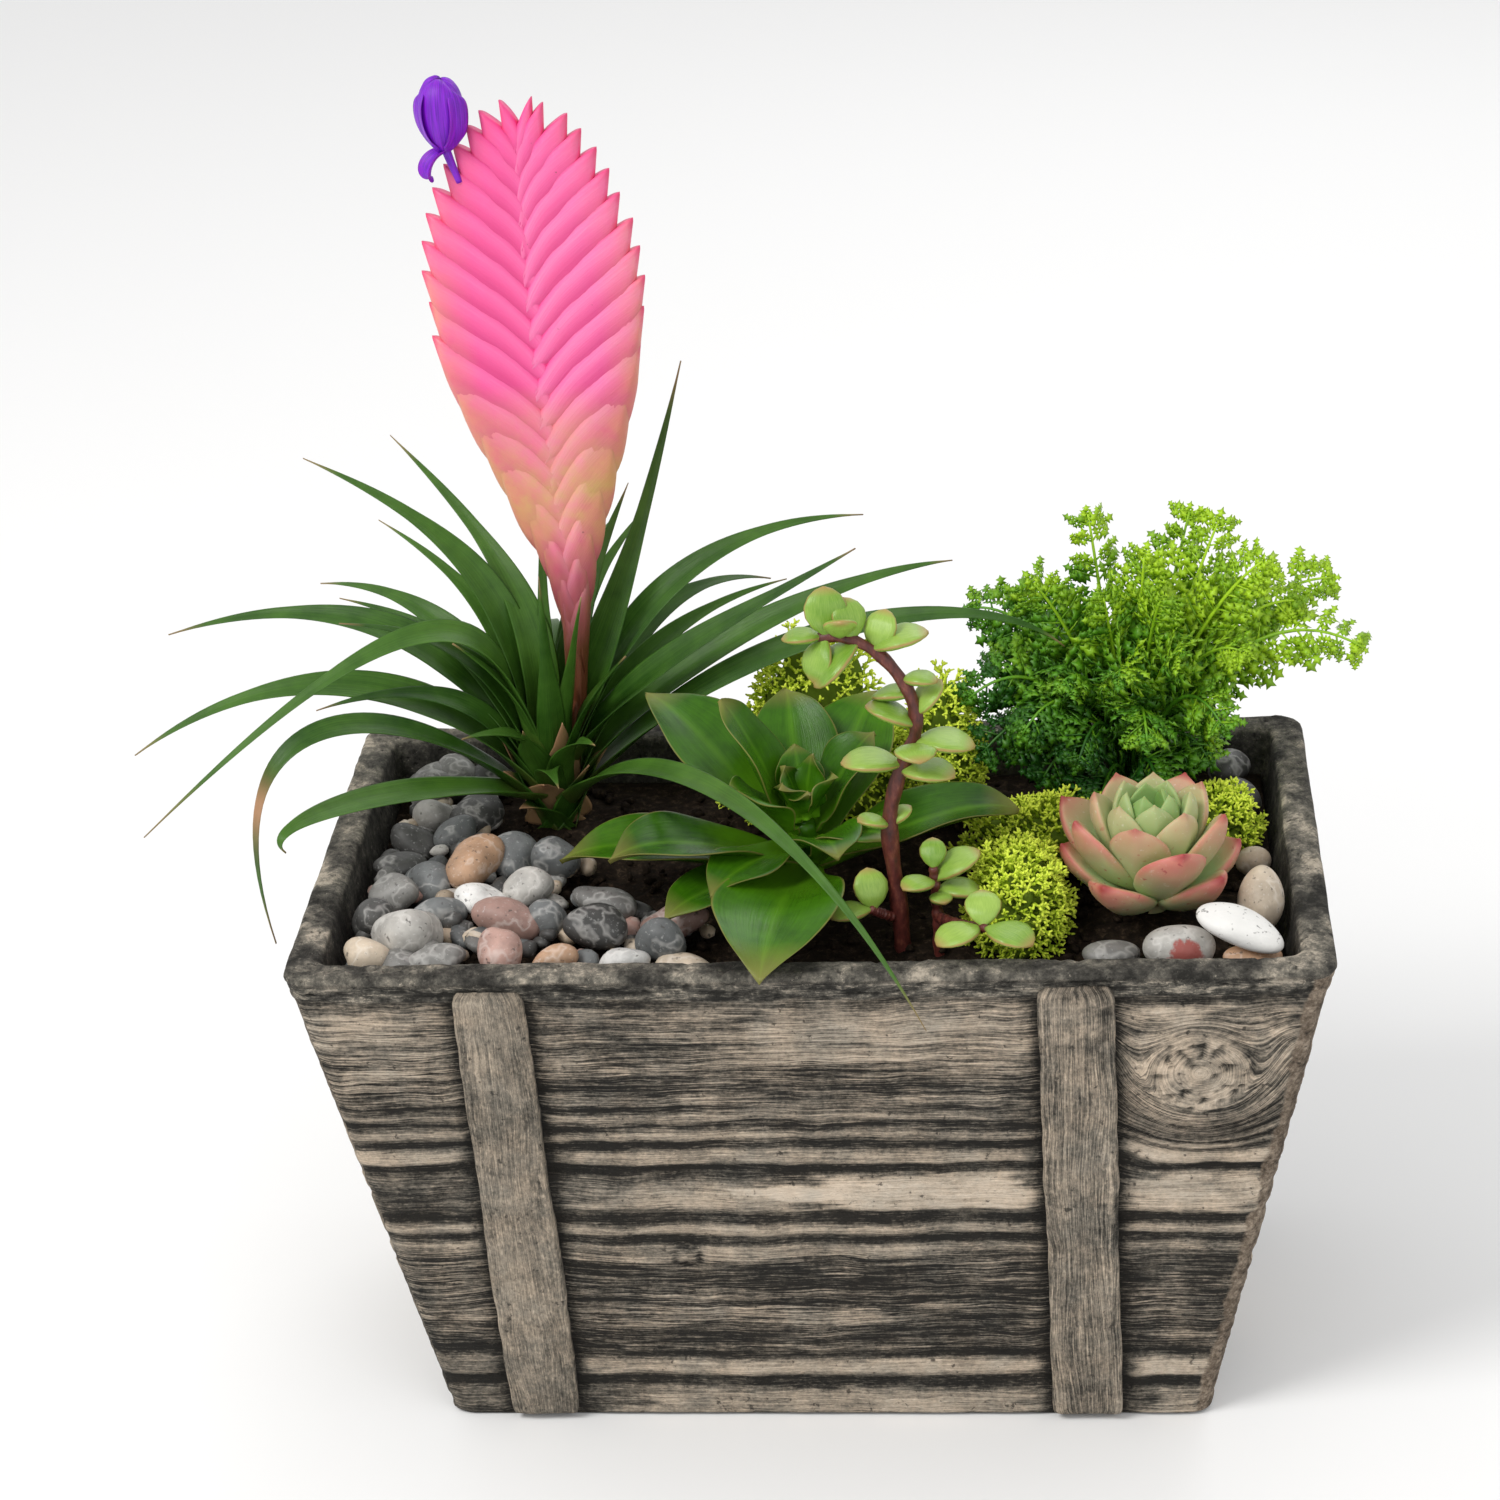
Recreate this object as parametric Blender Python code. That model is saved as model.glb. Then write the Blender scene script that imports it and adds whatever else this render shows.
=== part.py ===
# Succulent dish garden: a tapered box cast in stone to look like old boards, filled with
# soil and planted with a pink quill plant, a broad green rosette, a small jade-like bush,
# a blushing echeveria and a lace fern, with reindeer moss, a bed of pebbles and loose stones.
# Metres, +Z up. The origin is the centre of the underside, +X runs along the box to the
# right as seen from the front, and +Y points to the back.
import math
import random

import bmesh
import bpy
import mathutils
import numpy as np
from mathutils.bvhtree import BVHTree

MM = 0.001
GAP = 0.35 * MM  # clear air between pieces that touch on the real garden

# The box
TOP_HALF = np.array([145.0, 80.0]) * MM
BASE_HALF = np.array([113.0, 59.0]) * MM
HEIGHT = 162 * MM
WALL = 10 * MM
FLOOR = 12 * MM
CORNER = 7 * MM
UPPER_JOINT = 94 * MM
LOWER_JOINT = 14 * MM
JOINT_DEPTH = 1.4 * MM
BATTEN_FEET_X = (-83.8 * MM, 76.5 * MM)
BATTEN_HEADS_X = (-87.5 * MM, 74 * MM)
BATTEN_WIDTH = 20.5 * MM
BATTEN_PROUD = 2.6 * MM
BATTEN_TOP = 157 * MM
BATTEN_BOTTOM = 1.5 * MM

# Where each plant stands, and the level that the soil is filled to
SOIL_LEVEL = 147 * MM
QUILL_FOOT = np.array([-82.0, 44.0, 152.0]) * MM
ROSETTE_FOOT = np.array([-3.0, -8.0, 154.0]) * MM
ECHEVERIA_FOOT = np.array([96.0, -23.0, 155.0]) * MM
FERN_FOOT = np.array([92.0, 48.0, 152.0]) * MM
JADE_FEET = (np.array([26.0, -38.0]) * MM, np.array([36.0, -41.0]) * MM)


def clear_scene():
    for old in list(bpy.data.objects):
        bpy.data.objects.remove(old, do_unlink=True)


def material(name, colour, roughness):
    made = bpy.data.materials.new(name)
    made.use_nodes = True
    shader = made.node_tree.nodes["Principled BSDF"]
    shader.inputs["Base Color"].default_value = (*colour, 1.0)
    shader.inputs["Roughness"].default_value = roughness
    shader.inputs["Metallic"].default_value = 0.0
    return made


def tidy_mesh(mesh):
    """Turns the faces outwards and splits them into triangles."""
    work = bmesh.new()
    work.from_mesh(mesh)
    bmesh.ops.recalc_face_normals(work, faces=work.faces)
    bmesh.ops.triangulate(work, faces=work.faces)
    work.to_mesh(mesh)
    work.free()


def new_object(name, points, faces, finish=None):
    mesh = bpy.data.meshes.new(name)
    mesh.from_pydata([tuple(p) for p in points], [], [tuple(f) for f in faces])
    tidy_mesh(mesh)
    made = bpy.data.objects.new(name, mesh)
    bpy.context.scene.collection.objects.link(made)
    if finish:
        mesh.materials.append(finish)
    return made


def loft(rings):
    """Points and faces of a closed skin through rings of equal count. An end ring of one point is an apex."""
    points = np.concatenate(rings)
    faces = []
    start = 0
    for ring, following in zip(rings, rings[1:]):
        after = start + len(ring)
        count = max(len(ring), len(following))
        for k in range(count):
            m = (k + 1) % count
            if len(ring) == 1:
                faces.append((start, after + m, after + k))
            elif len(following) == 1:
                faces.append((start + k, start + m, after))
            else:
                faces.append((start + k, start + m, after + m, after + k))
        start = after
    if len(rings[0]) > 1:
        faces.append(tuple(range(len(rings[0]))))
    if len(rings[-1]) > 1:
        faces.append(tuple(range(start, start + len(rings[-1]))))
    return points, faces


def baked(obj):
    """Replaces the object's mesh by what its modifiers make of it."""
    bpy.context.view_layer.update()
    graph = bpy.context.evaluated_depsgraph_get()
    mesh = bpy.data.meshes.new_from_object(obj.evaluated_get(graph))
    obj.modifiers.clear()
    obj.data = mesh
    return obj


def keep_largest_body(obj):
    """Drops loose scraps that a union leaves, and welds points that lie together."""
    work = bmesh.new()
    work.from_mesh(obj.data)
    bmesh.ops.remove_doubles(work, verts=work.verts, dist=0.002 * MM)
    bmesh.ops.dissolve_degenerate(work, dist=0.002 * MM, edges=work.edges)
    left = set(work.faces)
    bodies = []
    while left:
        reached = {left.pop()}
        front = list(reached)
        while front:
            for edge in front.pop().edges:
                for face in edge.link_faces:
                    if face in left and len(edge.link_faces) == 2:
                        left.discard(face)
                        reached.add(face)
                        front.append(face)
        bodies.append(reached)
    bodies.sort(key=len)
    for scrap in bodies[:-1]:
        bmesh.ops.delete(work, geom=list(scrap), context="FACES")
    bmesh.ops.triangulate(work, faces=work.faces)
    work.to_mesh(obj.data)
    work.free()
    return obj


def fused(name, pieces, finish, solver="EXACT"):
    """One body from pieces that overlap: the first is joined to all the others."""
    body = pieces[0]
    body.name = name
    others = bpy.data.collections.new(name + "_pieces")
    bpy.context.scene.collection.children.link(others)
    for piece in pieces[1:]:
        others.objects.link(piece)
        bpy.context.scene.collection.objects.unlink(piece)
    join = body.modifiers.new("join", "BOOLEAN")
    join.operation = "UNION"
    join.operand_type = "COLLECTION"
    join.collection = others
    join.solver = solver
    baked(body)
    for piece in pieces[1:]:
        bpy.data.objects.remove(piece, do_unlink=True)
    bpy.data.collections.remove(others)
    keep_largest_body(body)
    body.data.materials.clear()
    body.data.materials.append(finish)
    return body


def cut_away(body, cutter):
    """Takes the cutter's shape out of the body and removes the cutter."""
    cut = body.modifiers.new("cut", "BOOLEAN")
    cut.operation = "DIFFERENCE"
    cut.object = cutter
    cut.solver = "EXACT"
    baked(body)
    bpy.data.objects.remove(cutter, do_unlink=True)
    return keep_largest_body(body)


def unit(vectors):
    vectors = np.asarray(vectors, float)
    return vectors / np.maximum(np.linalg.norm(vectors, axis=-1, keepdims=True), 1e-12)


def outward(azimuth):
    """The level direction at an angle in degrees: 0 is +X, 90 is +Y."""
    angle = math.radians(azimuth)
    return np.array([math.cos(angle), math.sin(angle), 0.0])


def bezier(a, b, c, d, steps):
    """Points along a cubic curve from a to d."""
    t = np.linspace(0.0, 1.0, steps)[:, None]
    return (1 - t) ** 3 * a + 3 * (1 - t) ** 2 * t * b + 3 * (1 - t) * t**2 * c + t**3 * d


def spline(points, steps):
    """Points along a smooth curve through the given ones, evenly spaced in the parameter."""
    knots = np.vstack([2 * points[0] - points[1], points, 2 * points[-1] - points[-2]])
    t = np.linspace(0.0, len(points) - 1 - 1e-9, steps)
    k = t.astype(int)
    f = (t - k)[:, None]
    a, b, c, d = knots[k], knots[k + 1], knots[k + 2], knots[k + 3]
    return 0.5 * (2 * b + (c - a) * f + (2 * a - 5 * b + 4 * c - d) * f**2 + (3 * b - a - 3 * c + d) * f**3)


def leaf(route, side, half_widths, thickness, fold, interior=1):
    """A closed leaf along a route. Across, it is a lens whose edges rise by fold times the half
    width, and it closes to a point at its tip. interior is the count of points on each face."""
    tangent = unit(np.gradient(route, axis=0))
    side = unit(side - np.sum(side * tangent, axis=1, keepdims=True) * tangent)
    above = unit(np.cross(tangent, side))
    across = np.linspace(-1.0, 1.0, interior + 2)
    rings = []
    for point, s, u, w, t in zip(route[:-1], side, above, half_widths, thickness):
        upper = [point + s * w * v + u * (fold * w * v**2 + 0.5 * t * (1 - v**2)) for v in across]
        lower = [point + s * w * v + u * (fold * w * v**2 - 0.5 * t * (1 - v**2)) for v in across[1:-1]]
        rings.append(np.array(upper + lower[::-1]))
    rings.append(route[-1:])
    return loft(rings)


def tube(route, radii, sides=6):
    """A closed round stem along a route."""
    tangent = unit(np.gradient(route, axis=0))
    helper = np.array([0.0, 1.0, 0.0]) if abs(tangent[0, 1]) < 0.8 else np.array([1.0, 0.0, 0.0])
    across = unit(np.cross(tangent, helper))
    over = np.cross(tangent, across)
    angles = np.linspace(0, 2 * math.pi, sides, endpoint=False)
    rings = [
        p + r * (np.cos(angles)[:, None] * a + np.sin(angles)[:, None] * o)
        for p, r, a, o in zip(route, radii, across, over)
    ]
    return loft(rings)


def ball(name, centre, half_sizes, turn=0.0, tilt=0.0, detail=1):
    """A faceted ellipsoid, turned about Z and tilted about its own long axis, in degrees."""
    work = bmesh.new()
    bmesh.ops.create_icosphere(work, subdivisions=detail, radius=1.0)
    points = np.array([v.co for v in work.verts]) * half_sizes
    faces = [tuple(v.index for v in f.verts) for f in work.faces]
    work.free()
    a, b = math.radians(turn), math.radians(tilt)
    about_y = np.array([[math.cos(b), 0, math.sin(b)], [0, 1, 0], [-math.sin(b), 0, math.cos(b)]])
    about_z = np.array([[math.cos(a), -math.sin(a), 0], [math.sin(a), math.cos(a), 0], [0, 0, 1]])
    return new_object(name, points @ about_y.T @ about_z.T + np.asarray(centre), faces)


def tree_of(obj):
    mesh = obj.data
    return BVHTree.FromPolygons([v.co for v in mesh.vertices], [tuple(p.vertices) for p in mesh.polygons])


def lower_onto(piece, supports, gap=GAP):
    """Moves the piece straight down, or up, until it clears its supports by the gap."""
    room = float("inf")
    high = 1.0
    own = tree_of(piece)
    for support in supports:
        under = tree_of(support)
        for vert in piece.data.vertices:
            hit = under.ray_cast((vert.co.x, vert.co.y, high), (0, 0, -1))
            if hit[0] is not None:
                room = min(room, vert.co.z - hit[0].z)
        for vert in support.data.vertices:
            hit = own.ray_cast((vert.co.x, vert.co.y, -high), (0, 0, 1))
            if hit[0] is not None:
                room = min(room, hit[0].z - vert.co.z)
    move = gap - room
    for vert in piece.data.vertices:
        vert.co.z += move
    return piece


def box_half(height, inset=0.0):
    """Half length and half width of the box at a height, less an inset."""
    return BASE_HALF + (TOP_HALF - BASE_HALF) * height / HEIGHT - inset


def box_ring(half, corner, height):
    """A level rectangle with round corners, three points to a corner."""
    angles = np.radians([4, 45, 86])
    ring = []
    for k, (sx, sy) in enumerate(((1, 1), (-1, 1), (-1, -1), (1, -1))):
        turned = angles + k * math.pi / 2
        centre = np.array([sx, sy]) * (half - corner)
        for a in turned:
            ring.append([*(centre + corner * np.array([math.cos(a), math.sin(a)])), height])
    return np.array(ring)


def board_relief(height):
    """How far the wall stands out at a height: flush, but for the two deep joints between cast boards."""
    upper = math.exp(-(((height - UPPER_JOINT) / (1.2 * MM)) ** 2))
    lower = math.exp(-(((height - LOWER_JOINT) / (1.2 * MM)) ** 2))
    return -JOINT_DEPTH * (upper + lower)


def build_planter(finish):
    levels = [0, 3]
    for joint in (LOWER_JOINT, UPPER_JOINT):
        levels += [joint / MM + step for step in (-2.5, -1, 1, 2.5)]
    levels += [130]
    rings = [box_ring(box_half(0) - 2.0 * MM, CORNER, 0.0)]
    rings += [box_ring(box_half(z * MM) + board_relief(z * MM), CORNER, z * MM) for z in levels[1:]]
    rings.append(box_ring(box_half(HEIGHT), CORNER, HEIGHT - 2.5 * MM))
    rings.append(box_ring(box_half(HEIGHT) - 2.0 * MM, CORNER, HEIGHT))
    rings.append(box_ring(box_half(HEIGHT, WALL - 1.5 * MM), CORNER * 0.7, HEIGHT))
    rings.append(box_ring(box_half(HEIGHT, WALL), CORNER * 0.6, HEIGHT - 2 * MM))
    rings.append(box_ring(box_half(FLOOR, WALL), CORNER * 0.6, FLOOR))
    planter = new_object("planter_box", *loft(rings))
    ends = list(zip(BATTEN_FEET_X, BATTEN_HEADS_X))
    battens = [batten(foot, head, facing) for facing in (-1, 1) for foot, head in ends]
    return fused("planter_box", [planter] + battens, finish)


def batten(foot_x, head_x, facing):
    """A flat strip on the front (facing -1) or back (+1) wall, following its slope and leaning a little."""
    half = BATTEN_WIDTH / 2
    clip = 3 * MM
    outline = [
        (-half, BATTEN_BOTTOM),
        (half, BATTEN_BOTTOM),
        (half, BATTEN_TOP - clip),
        (half - clip, BATTEN_TOP),
        (-half, BATTEN_TOP),
    ]
    rings = []
    for depth in (-4 * MM, BATTEN_PROUD):
        ring = [(x + foot_x + (head_x - foot_x) * z / BATTEN_TOP, facing * (box_half(z)[1] + depth), z)
                for x, z in outline]
        rings.append(np.array(ring))
    return new_object("batten", *loft(rings))


def soil_height(x, y):
    """The soil's surface: nearly level, heaped a little round the tall plants and under the stones."""
    quill = 2.0 * np.exp(-(((x / MM + 82) / 24) ** 2) - ((y / MM - 44) / 20) ** 2)
    fern = 5.0 * np.exp(-(((x / MM - 80) / 50) ** 2) - ((y / MM - 40) / 26) ** 2)
    stones = 6.0 * np.exp(-(((x / MM - 122) / 16) ** 2) - ((y / MM + 56) / 14) ** 2)
    return SOIL_LEVEL + (quill + fern + stones) * MM


def with_side_points(ring):
    """The ring with points added along its long and short sides, so that a surface can bend there."""
    points = []
    for k, point in enumerate(ring):
        points.append(point)
        extra = (0, 0, 5, 0, 0, 2)[k % 6]
        following = ring[(k + 1) % len(ring)]
        points += [point + (following - point) * j / (extra + 1) for j in range(1, extra + 1)]
    return np.array(points)


def build_soil(finish, stems):
    """Soil that fills the box, with a plain hole for each stem: (x, y, radius, height of the stem's foot)."""
    clear = WALL + GAP
    rings = [with_side_points(box_ring(box_half(FLOOR, clear), CORNER * 0.5, FLOOR + GAP))]
    edge = with_side_points(box_ring(box_half(SOIL_LEVEL - 2 * MM, clear + 0.3 * MM), CORNER * 0.5, 0.0))
    for share in (1.0, 0.86, 0.66, 0.4):
        ring = edge * [share, share, 1.0]
        ring[:, 2] = soil_height(ring[:, 0], ring[:, 1])
        rings.append(ring)
    rings.append(np.array([[0.0, 0.0, soil_height(0.0, 0.0)]]))
    soil = new_object("soil", *loft(rings))
    for x, y, radius, foot in stems:
        line = np.array([[x, y, foot - GAP], [x, y, SOIL_LEVEL + 20 * MM]])
        soil = cut_away(soil, new_object("hole", *tube(line, [radius, radius], 10)))
    soil.data.materials.append(finish)
    return soil


# Pebbles of the bed that stand out, seen from above: x, y, half length, half width, half height, turn
SHOWN_PEBBLES = [
    (-102, -2, 9, 7, 6.5, 40),
    (-114, -44, 9.5, 8, 7.5, 20),
    (-127, -56, 6.5, 5.5, 5, 10),
    (-123, -18, 7.5, 6, 5.5, 0),
    (-127, 2, 8, 5.5, 4, 25),
    (-97, -22, 7, 5, 4.5, 15),
    (-83, -17, 7.5, 6.5, 6, 30),
    (-77, 2, 7, 5.5, 6, 50),
    (-87, -36, 10, 6, 5.5, 12),
    (-62, -44, 9, 7, 6.5, 0),
    (-41, -36, 9, 6, 5, 170),
    (-41, -52, 7, 6, 6, 20),
    (-51, -58, 7, 5, 4, 170),
    (-87, -54, 7, 6.5, 6.5, 120),
    (-125, -35, 7, 6, 5.5, 70),
    (-108, -30, 7, 5, 4.5, 10),
    (-104, -57, 8.5, 5.5, 4.5, 15),
    (-76, -34, 5.5, 5, 5, 0),
    (-72, -57, 6.5, 5, 4, 0),
    (-61, -26, 8, 6, 5, 150),
    (-118, 32, 6, 5, 5, 0),
    (-122, 46, 7, 5.5, 5.5, 20),
    (-110, 22, 7, 5, 4.5, 30),
]
GRIT_OUTLINE = [(-130, -65), (-26, -65), (-30, -34), (-52, -18), (-70, 12), (-98, 22), (-103, 40), (-100, 65), (-130, 65)]
BED_SPACING = 16 * MM


def pebble_bed_places():
    """Places of the filling pebbles: a shifted grid over the left end, front and side, seeded."""
    draw = random.Random(7)
    places = []
    for row in range(11):
        for column in range(10):
            x = -130 * MM + (column + 0.5 * (row % 2)) * BED_SPACING + draw.uniform(-1.2, 1.2) * MM
            y = -63 * MM + row * BED_SPACING * 0.87 + draw.uniform(-1.0, 1.0) * MM
            size = draw.uniform(7.0, 8.6) * MM
            turn = draw.uniform(0, 180)
            front = y < -20 * MM and x < (-30 if y < -40 * MM else -52) * MM
            middle = y < 14 * MM and x < -70 * MM
            end = x < -102 * MM
            shown = any(math.dist((x, y), (p[0] * MM, p[1] * MM)) < 11 * MM for p in SHOWN_PEBBLES)
            if (front or middle or end) and not shown:
                places.append((inside_walls(x, 130, size), inside_walls(y, 66, size), size, turn))
    return places


def inside_walls(place, half_room, size):
    """The place moved inwards where a pebble of this half size would meet the wall."""
    room = half_room * MM - size
    return min(max(place, -room), room)


def build_pebble_bed(finish, soil):
    """The pebbles lie half sunk in a thin layer of grit, which ties them into one body."""
    corners = np.array(GRIT_OUTLINE) * MM
    grit = [np.column_stack([corners, np.full(len(corners), z)]) for z in (SOIL_LEVEL, SOIL_LEVEL + 5 * MM)]
    pieces = [new_object("grit", *loft(grit))]
    for x, y, size, turn in pebble_bed_places():
        centre = (x, y, soil_height(x, y) + 0.55 * size + GAP + 0.8 * MM)
        pieces.append(ball("pebble", centre, (size, size * 0.85, size * 0.6), turn))
    for x, y, a, b, c, turn in SHOWN_PEBBLES:
        centre = (inside_walls(x * MM, 132, a * MM), inside_walls(y * MM, 68, a * MM), SOIL_LEVEL + (c + 3.2) * MM)
        pieces.append(ball("pebble", centre, np.array([a, b, c]) * MM, turn, 8.0))
    bed = fused("pebble_bed", pieces, finish, "MANIFOLD")
    return lower_onto(bed, [soil])


# Loose stones: name, x, y, start height, half sizes, turn, tilt
STONES = [
    ("stone_dark_flat", 84, -52, 158, (8.5, 5.5, 4), 20, 6),
    ("stone_red_spotted", 103, -58, 158, (10.5, 7.0, 7.0), 5, 4),
    ("stone_tan", 124, -61, 158, (8.5, 6.0, 4.0), -6, 3),
    ("stone_speckled", 126.2, -34, 160, (6.5, 9.5, 9.5), 8, 0),
    ("stone_white", 118, -59, 172, (13.0, 7.0, 4.6), -20, 16),
    ("stone_small_beige", 126, 1, 160, (5.5, 5.0, 4.5), 0, 0),
    ("stone_corner_grey", 122, 57, 160, (8.0, 6.0, 5.5), 60, 0),
    ("stone_corner_dark", 125, 41, 160, (6.0, 8.5, 4.5), 10, 0),
]


def build_stones(finishes, soil):
    placed = []
    for name, x, y, z, sizes, turn, tilt in STONES:
        stone = ball(name, np.array([x, y, z]) * MM, np.array(sizes) * MM, turn, tilt, 2)
        lower_onto(stone, [soil] + placed)
        stone.data.materials.append(finishes["pale" if "white" in name or "speckled" in name else "grey"])
        placed.append(stone)
    return placed


# Leaves of the quill plant: height on the crown, azimuth, reach, tip rise, bow reach, bow rise, half width
QUILL_LEAVES = [
    (15, 160, 77, 104, 15, 84, 6.5),
    (12, 132, 76, 99, -2, 72, 6.5),
    (9, 174, 117, 53, 53, 76, 7),
    (5, 192, 124, 31, 72, 65, 7),
    (11, 207, 127, 20, 24, 94, 6),
    (0, 212, 94, -20, 112, 76, 5),
    (3, 230, 104, 26, 118, 42, 6),
    (16, 24, 48, 135, 24, 54, 8),
    (10, 16, 99, 82, 50, 87, 6),
    (13, -6, 95, 87, 62, 66, 6),
    (5, 8, 123, 71, 88, 70, 6),
    (1, -4, 155, 55, 126, 82, 5.5),
    (1, -50, 180, 0, 112, 60, 4.5),
    (12, -82, 20, 84, 14, 40, 5),
    (17, 90, 17, 96, 4, 40, 5),
    (10, 52, 40, 92, 18, 60, 6),
    (4, 74, 62, 70, 30, 70, 6),
    (5, 112, 70, 56, 36, 66, 6),
    (1, 40, 84, 50, 46, 66, 6),
    (1, 146, 92, 52, 44, 64, 6),
    (4, 258, 24, 36, 14, 24, 7),
    (9, 240, 42, 40, 20, 36, 6),
    (5, 300, 34, 34, 20, 32, 6),
    (8, 330, 30, 56, 16, 40, 6),
]


def quill_leaf(tier, azimuth, reach, rise, bow_reach, bow_rise, half_width, steps=7):
    """An arching blade from the crown: a cubic curve in the upright plane at the azimuth."""
    away = outward(azimuth)
    up = np.array([0.0, 0.0, 1.0])
    root = QUILL_FOOT + away * 6.5 * MM + up * tier * MM
    launch = QUILL_FOOT + away * (4 + 0.3 * bow_reach) * MM + up * (tier * 0.4 + 0.62 * bow_rise) * MM
    bow = QUILL_FOOT + away * bow_reach * MM + up * bow_rise * MM
    tip = QUILL_FOOT + away * reach * MM + up * rise * MM
    route = bezier(root, launch, bow, tip, steps)
    along = np.linspace(0, 1, steps)
    widths = half_width * MM * (1.0 - along**3.5) * (0.62 + 0.42 * np.sin(math.pi * np.minimum(along * 1.3, 1)))
    thick = np.full(steps, 1.5 * MM) * (1.0 - 0.4 * along)
    side = np.tile(np.cross(up, away), (steps, 1))
    return new_object("blade", *leaf(route, side, widths, thick, 0.45))


# The middle line of the pink head's stalk, and the head's half width at each height
QUILL_AXIS = np.array([(-81, 44, 146), (-75, 44.5, 176), (-71.5, 45, 212), (-76, 45, 283), (-77.7, 45, 358)]) * MM
HEAD_HEIGHTS = np.array([200, 232, 243, 259, 267, 284, 296, 308, 330, 345, 353, 362, 370, 374]) * MM
HEAD_HALF_WIDTHS = np.array([3, 4.5, 6, 11, 14, 21.5, 27, 30, 30, 25.5, 21.5, 17, 11.5, 6]) * MM
LOWEST_TIP = 222 * MM
HIGHEST_TIP = 372 * MM
BRACTS_A_SIDE = 12


def axis_at(height):
    return np.array([np.interp(height, QUILL_AXIS[:, 2], QUILL_AXIS[:, k]) for k in range(3)])


def build_quill_leaves(finish):
    crown_line = QUILL_FOOT + np.array([[0, 0, -12], [0, 0, 2], [0, 0, 16], [1, 0, 24]]) * MM
    crown = new_object("crown", *tube(crown_line, np.array([9, 11, 8.5, 5]) * MM, 10))
    blades = [quill_leaf(*row) for row in QUILL_LEAVES]
    plant = fused("quill_plant_leaves", [crown] + blades, finish)
    line = spline(QUILL_AXIS, 13)[:8]
    line[0] -= [0, 0, 2 * MM]
    return cut_away(plant, new_object("stalk_room", *tube(line, np.full(8, 2.6 * MM + GAP), 8)))


def bract(foot, along, out, front, reach, rise, edge_rise, depth):
    """A boat-shaped bract: its keel bulges out from the axis, its upper edges climb in an arc to the same point."""
    rings = []
    for u in (0.0, 0.45, 0.8):
        share = math.sin(u * math.pi / 2)
        keel = foot + out * reach * share + along * rise * u**2.2
        edge = foot + out * reach * share + along * (rise - edge_rise * (1 - share**0.55))
        lip = front * depth * (1 - 0.6 * u)
        rings.append(np.array([keel, edge + lip, edge - lip]))
    rings.append((foot + out * reach + along * (rise + 2 * MM))[None])
    return new_object("bract", *loft(rings))


def build_quill_spike(finish):
    line = spline(QUILL_AXIS, 17)
    pieces = [new_object("stalk", *tube(line, np.linspace(2.5, 1.6, 17) * MM, 6))]
    front = np.array([0.0, -1.0, 0.0])
    for k in range(2 * BRACTS_A_SIDE):
        share = k / (2 * BRACTS_A_SIDE - 1)
        # the tips stand closer together towards the top
        tip_height = HIGHEST_TIP - (HIGHEST_TIP - LOWEST_TIP) * (1 - share) ** 1.25
        rise = (37 - 6 * share) * MM
        foot = axis_at(tip_height - rise)
        along = unit(axis_at(tip_height - rise + 9 * MM) - foot)
        out = unit(np.cross(along, front)) * (1 if k % 2 else -1)
        reach = np.interp(tip_height, HEAD_HEIGHTS, HEAD_HALF_WIDTHS)
        edge_rise = (8 + 7 * share**2) * MM + 0.45 * reach
        depth = (4.2 - 2.2 * share + 0.25 * (k % 2)) * MM
        pieces.append(bract(foot - out * 3 * MM, along, out, front, reach, rise, edge_rise, depth))
    return fused("quill_pink_spike", pieces, finish)


FLOWER_FOOT = np.array([-101.0, 43.0, 358.5]) * MM


def build_quill_flower(finish):
    """Two broad petals close into a hood on a thin tube at the upper left edge of the head, a small one curls below."""
    throat = FLOWER_FOOT + np.array([[3.4, 0, -9], [1.4, 0, -3], [-1, 0, 5]]) * MM
    pieces = [new_object("throat", *tube(throat, np.array([0.9, 1.2, 1.4]) * MM, 6))]
    petals = [(150, 6, 20, 7.4, 0.5), (285, 5, 19, 7.4, 0.45), (205, 6, -7, 2.6, 0.4)]
    for azimuth, reach, rise, half, fold in petals:
        away = outward(azimuth)
        up = np.array([0, 0, 1.0])
        end = FLOWER_FOOT + away * reach * 0.5 * MM + up * rise * MM
        bulge = FLOWER_FOOT + away * reach * MM + up * rise * 0.6 * MM
        route = bezier(FLOWER_FOOT, FLOWER_FOOT + away * reach * 0.6 * MM, bulge, end, 6)
        widths = half * MM * np.sin(np.linspace(0.25, math.pi, 6)) ** 0.7
        side = np.tile(np.cross(up, away), (6, 1))
        pieces.append(new_object("petal", *leaf(route, side, widths, np.full(6, 0.9 * MM), fold)))
    return fused("quill_violet_flower", pieces, finish)


# Leaves of the green rosette: height on the stem, azimuth, reach, tip rise, lift of the bow, half width
ROSETTE_LEAVES = [
    (8, 146, 57, 44, 8, 15),
    (13, 166, 24, 54, 5, 11),
    (1, 184, 71, 8, 12, 14),
    (5, 206, 60, 19, 12, 14),
    (1, 226, 54, 7, 8, 11),
    (4, 264, 80, 9.5, 14, 18),
    (10, 238, 46, 14, 8, 10),
    (3, 4, 62, 18, 10, 15),
    (5, 62, 44, 40, 8, 15),
    (7, 100, 34, 44, 6, 13),
    (6, 320, 34, 22, 9, 12),
    (12, 290, 34, 22, 9, 11),
    (15, 212, 24, 34, 6, 10),
    (14, 30, 24, 40, 6, 10),
    (20, 105, 10, 38, 3, 7),
    (20, 345, 10, 34, 3, 7),
]


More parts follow.
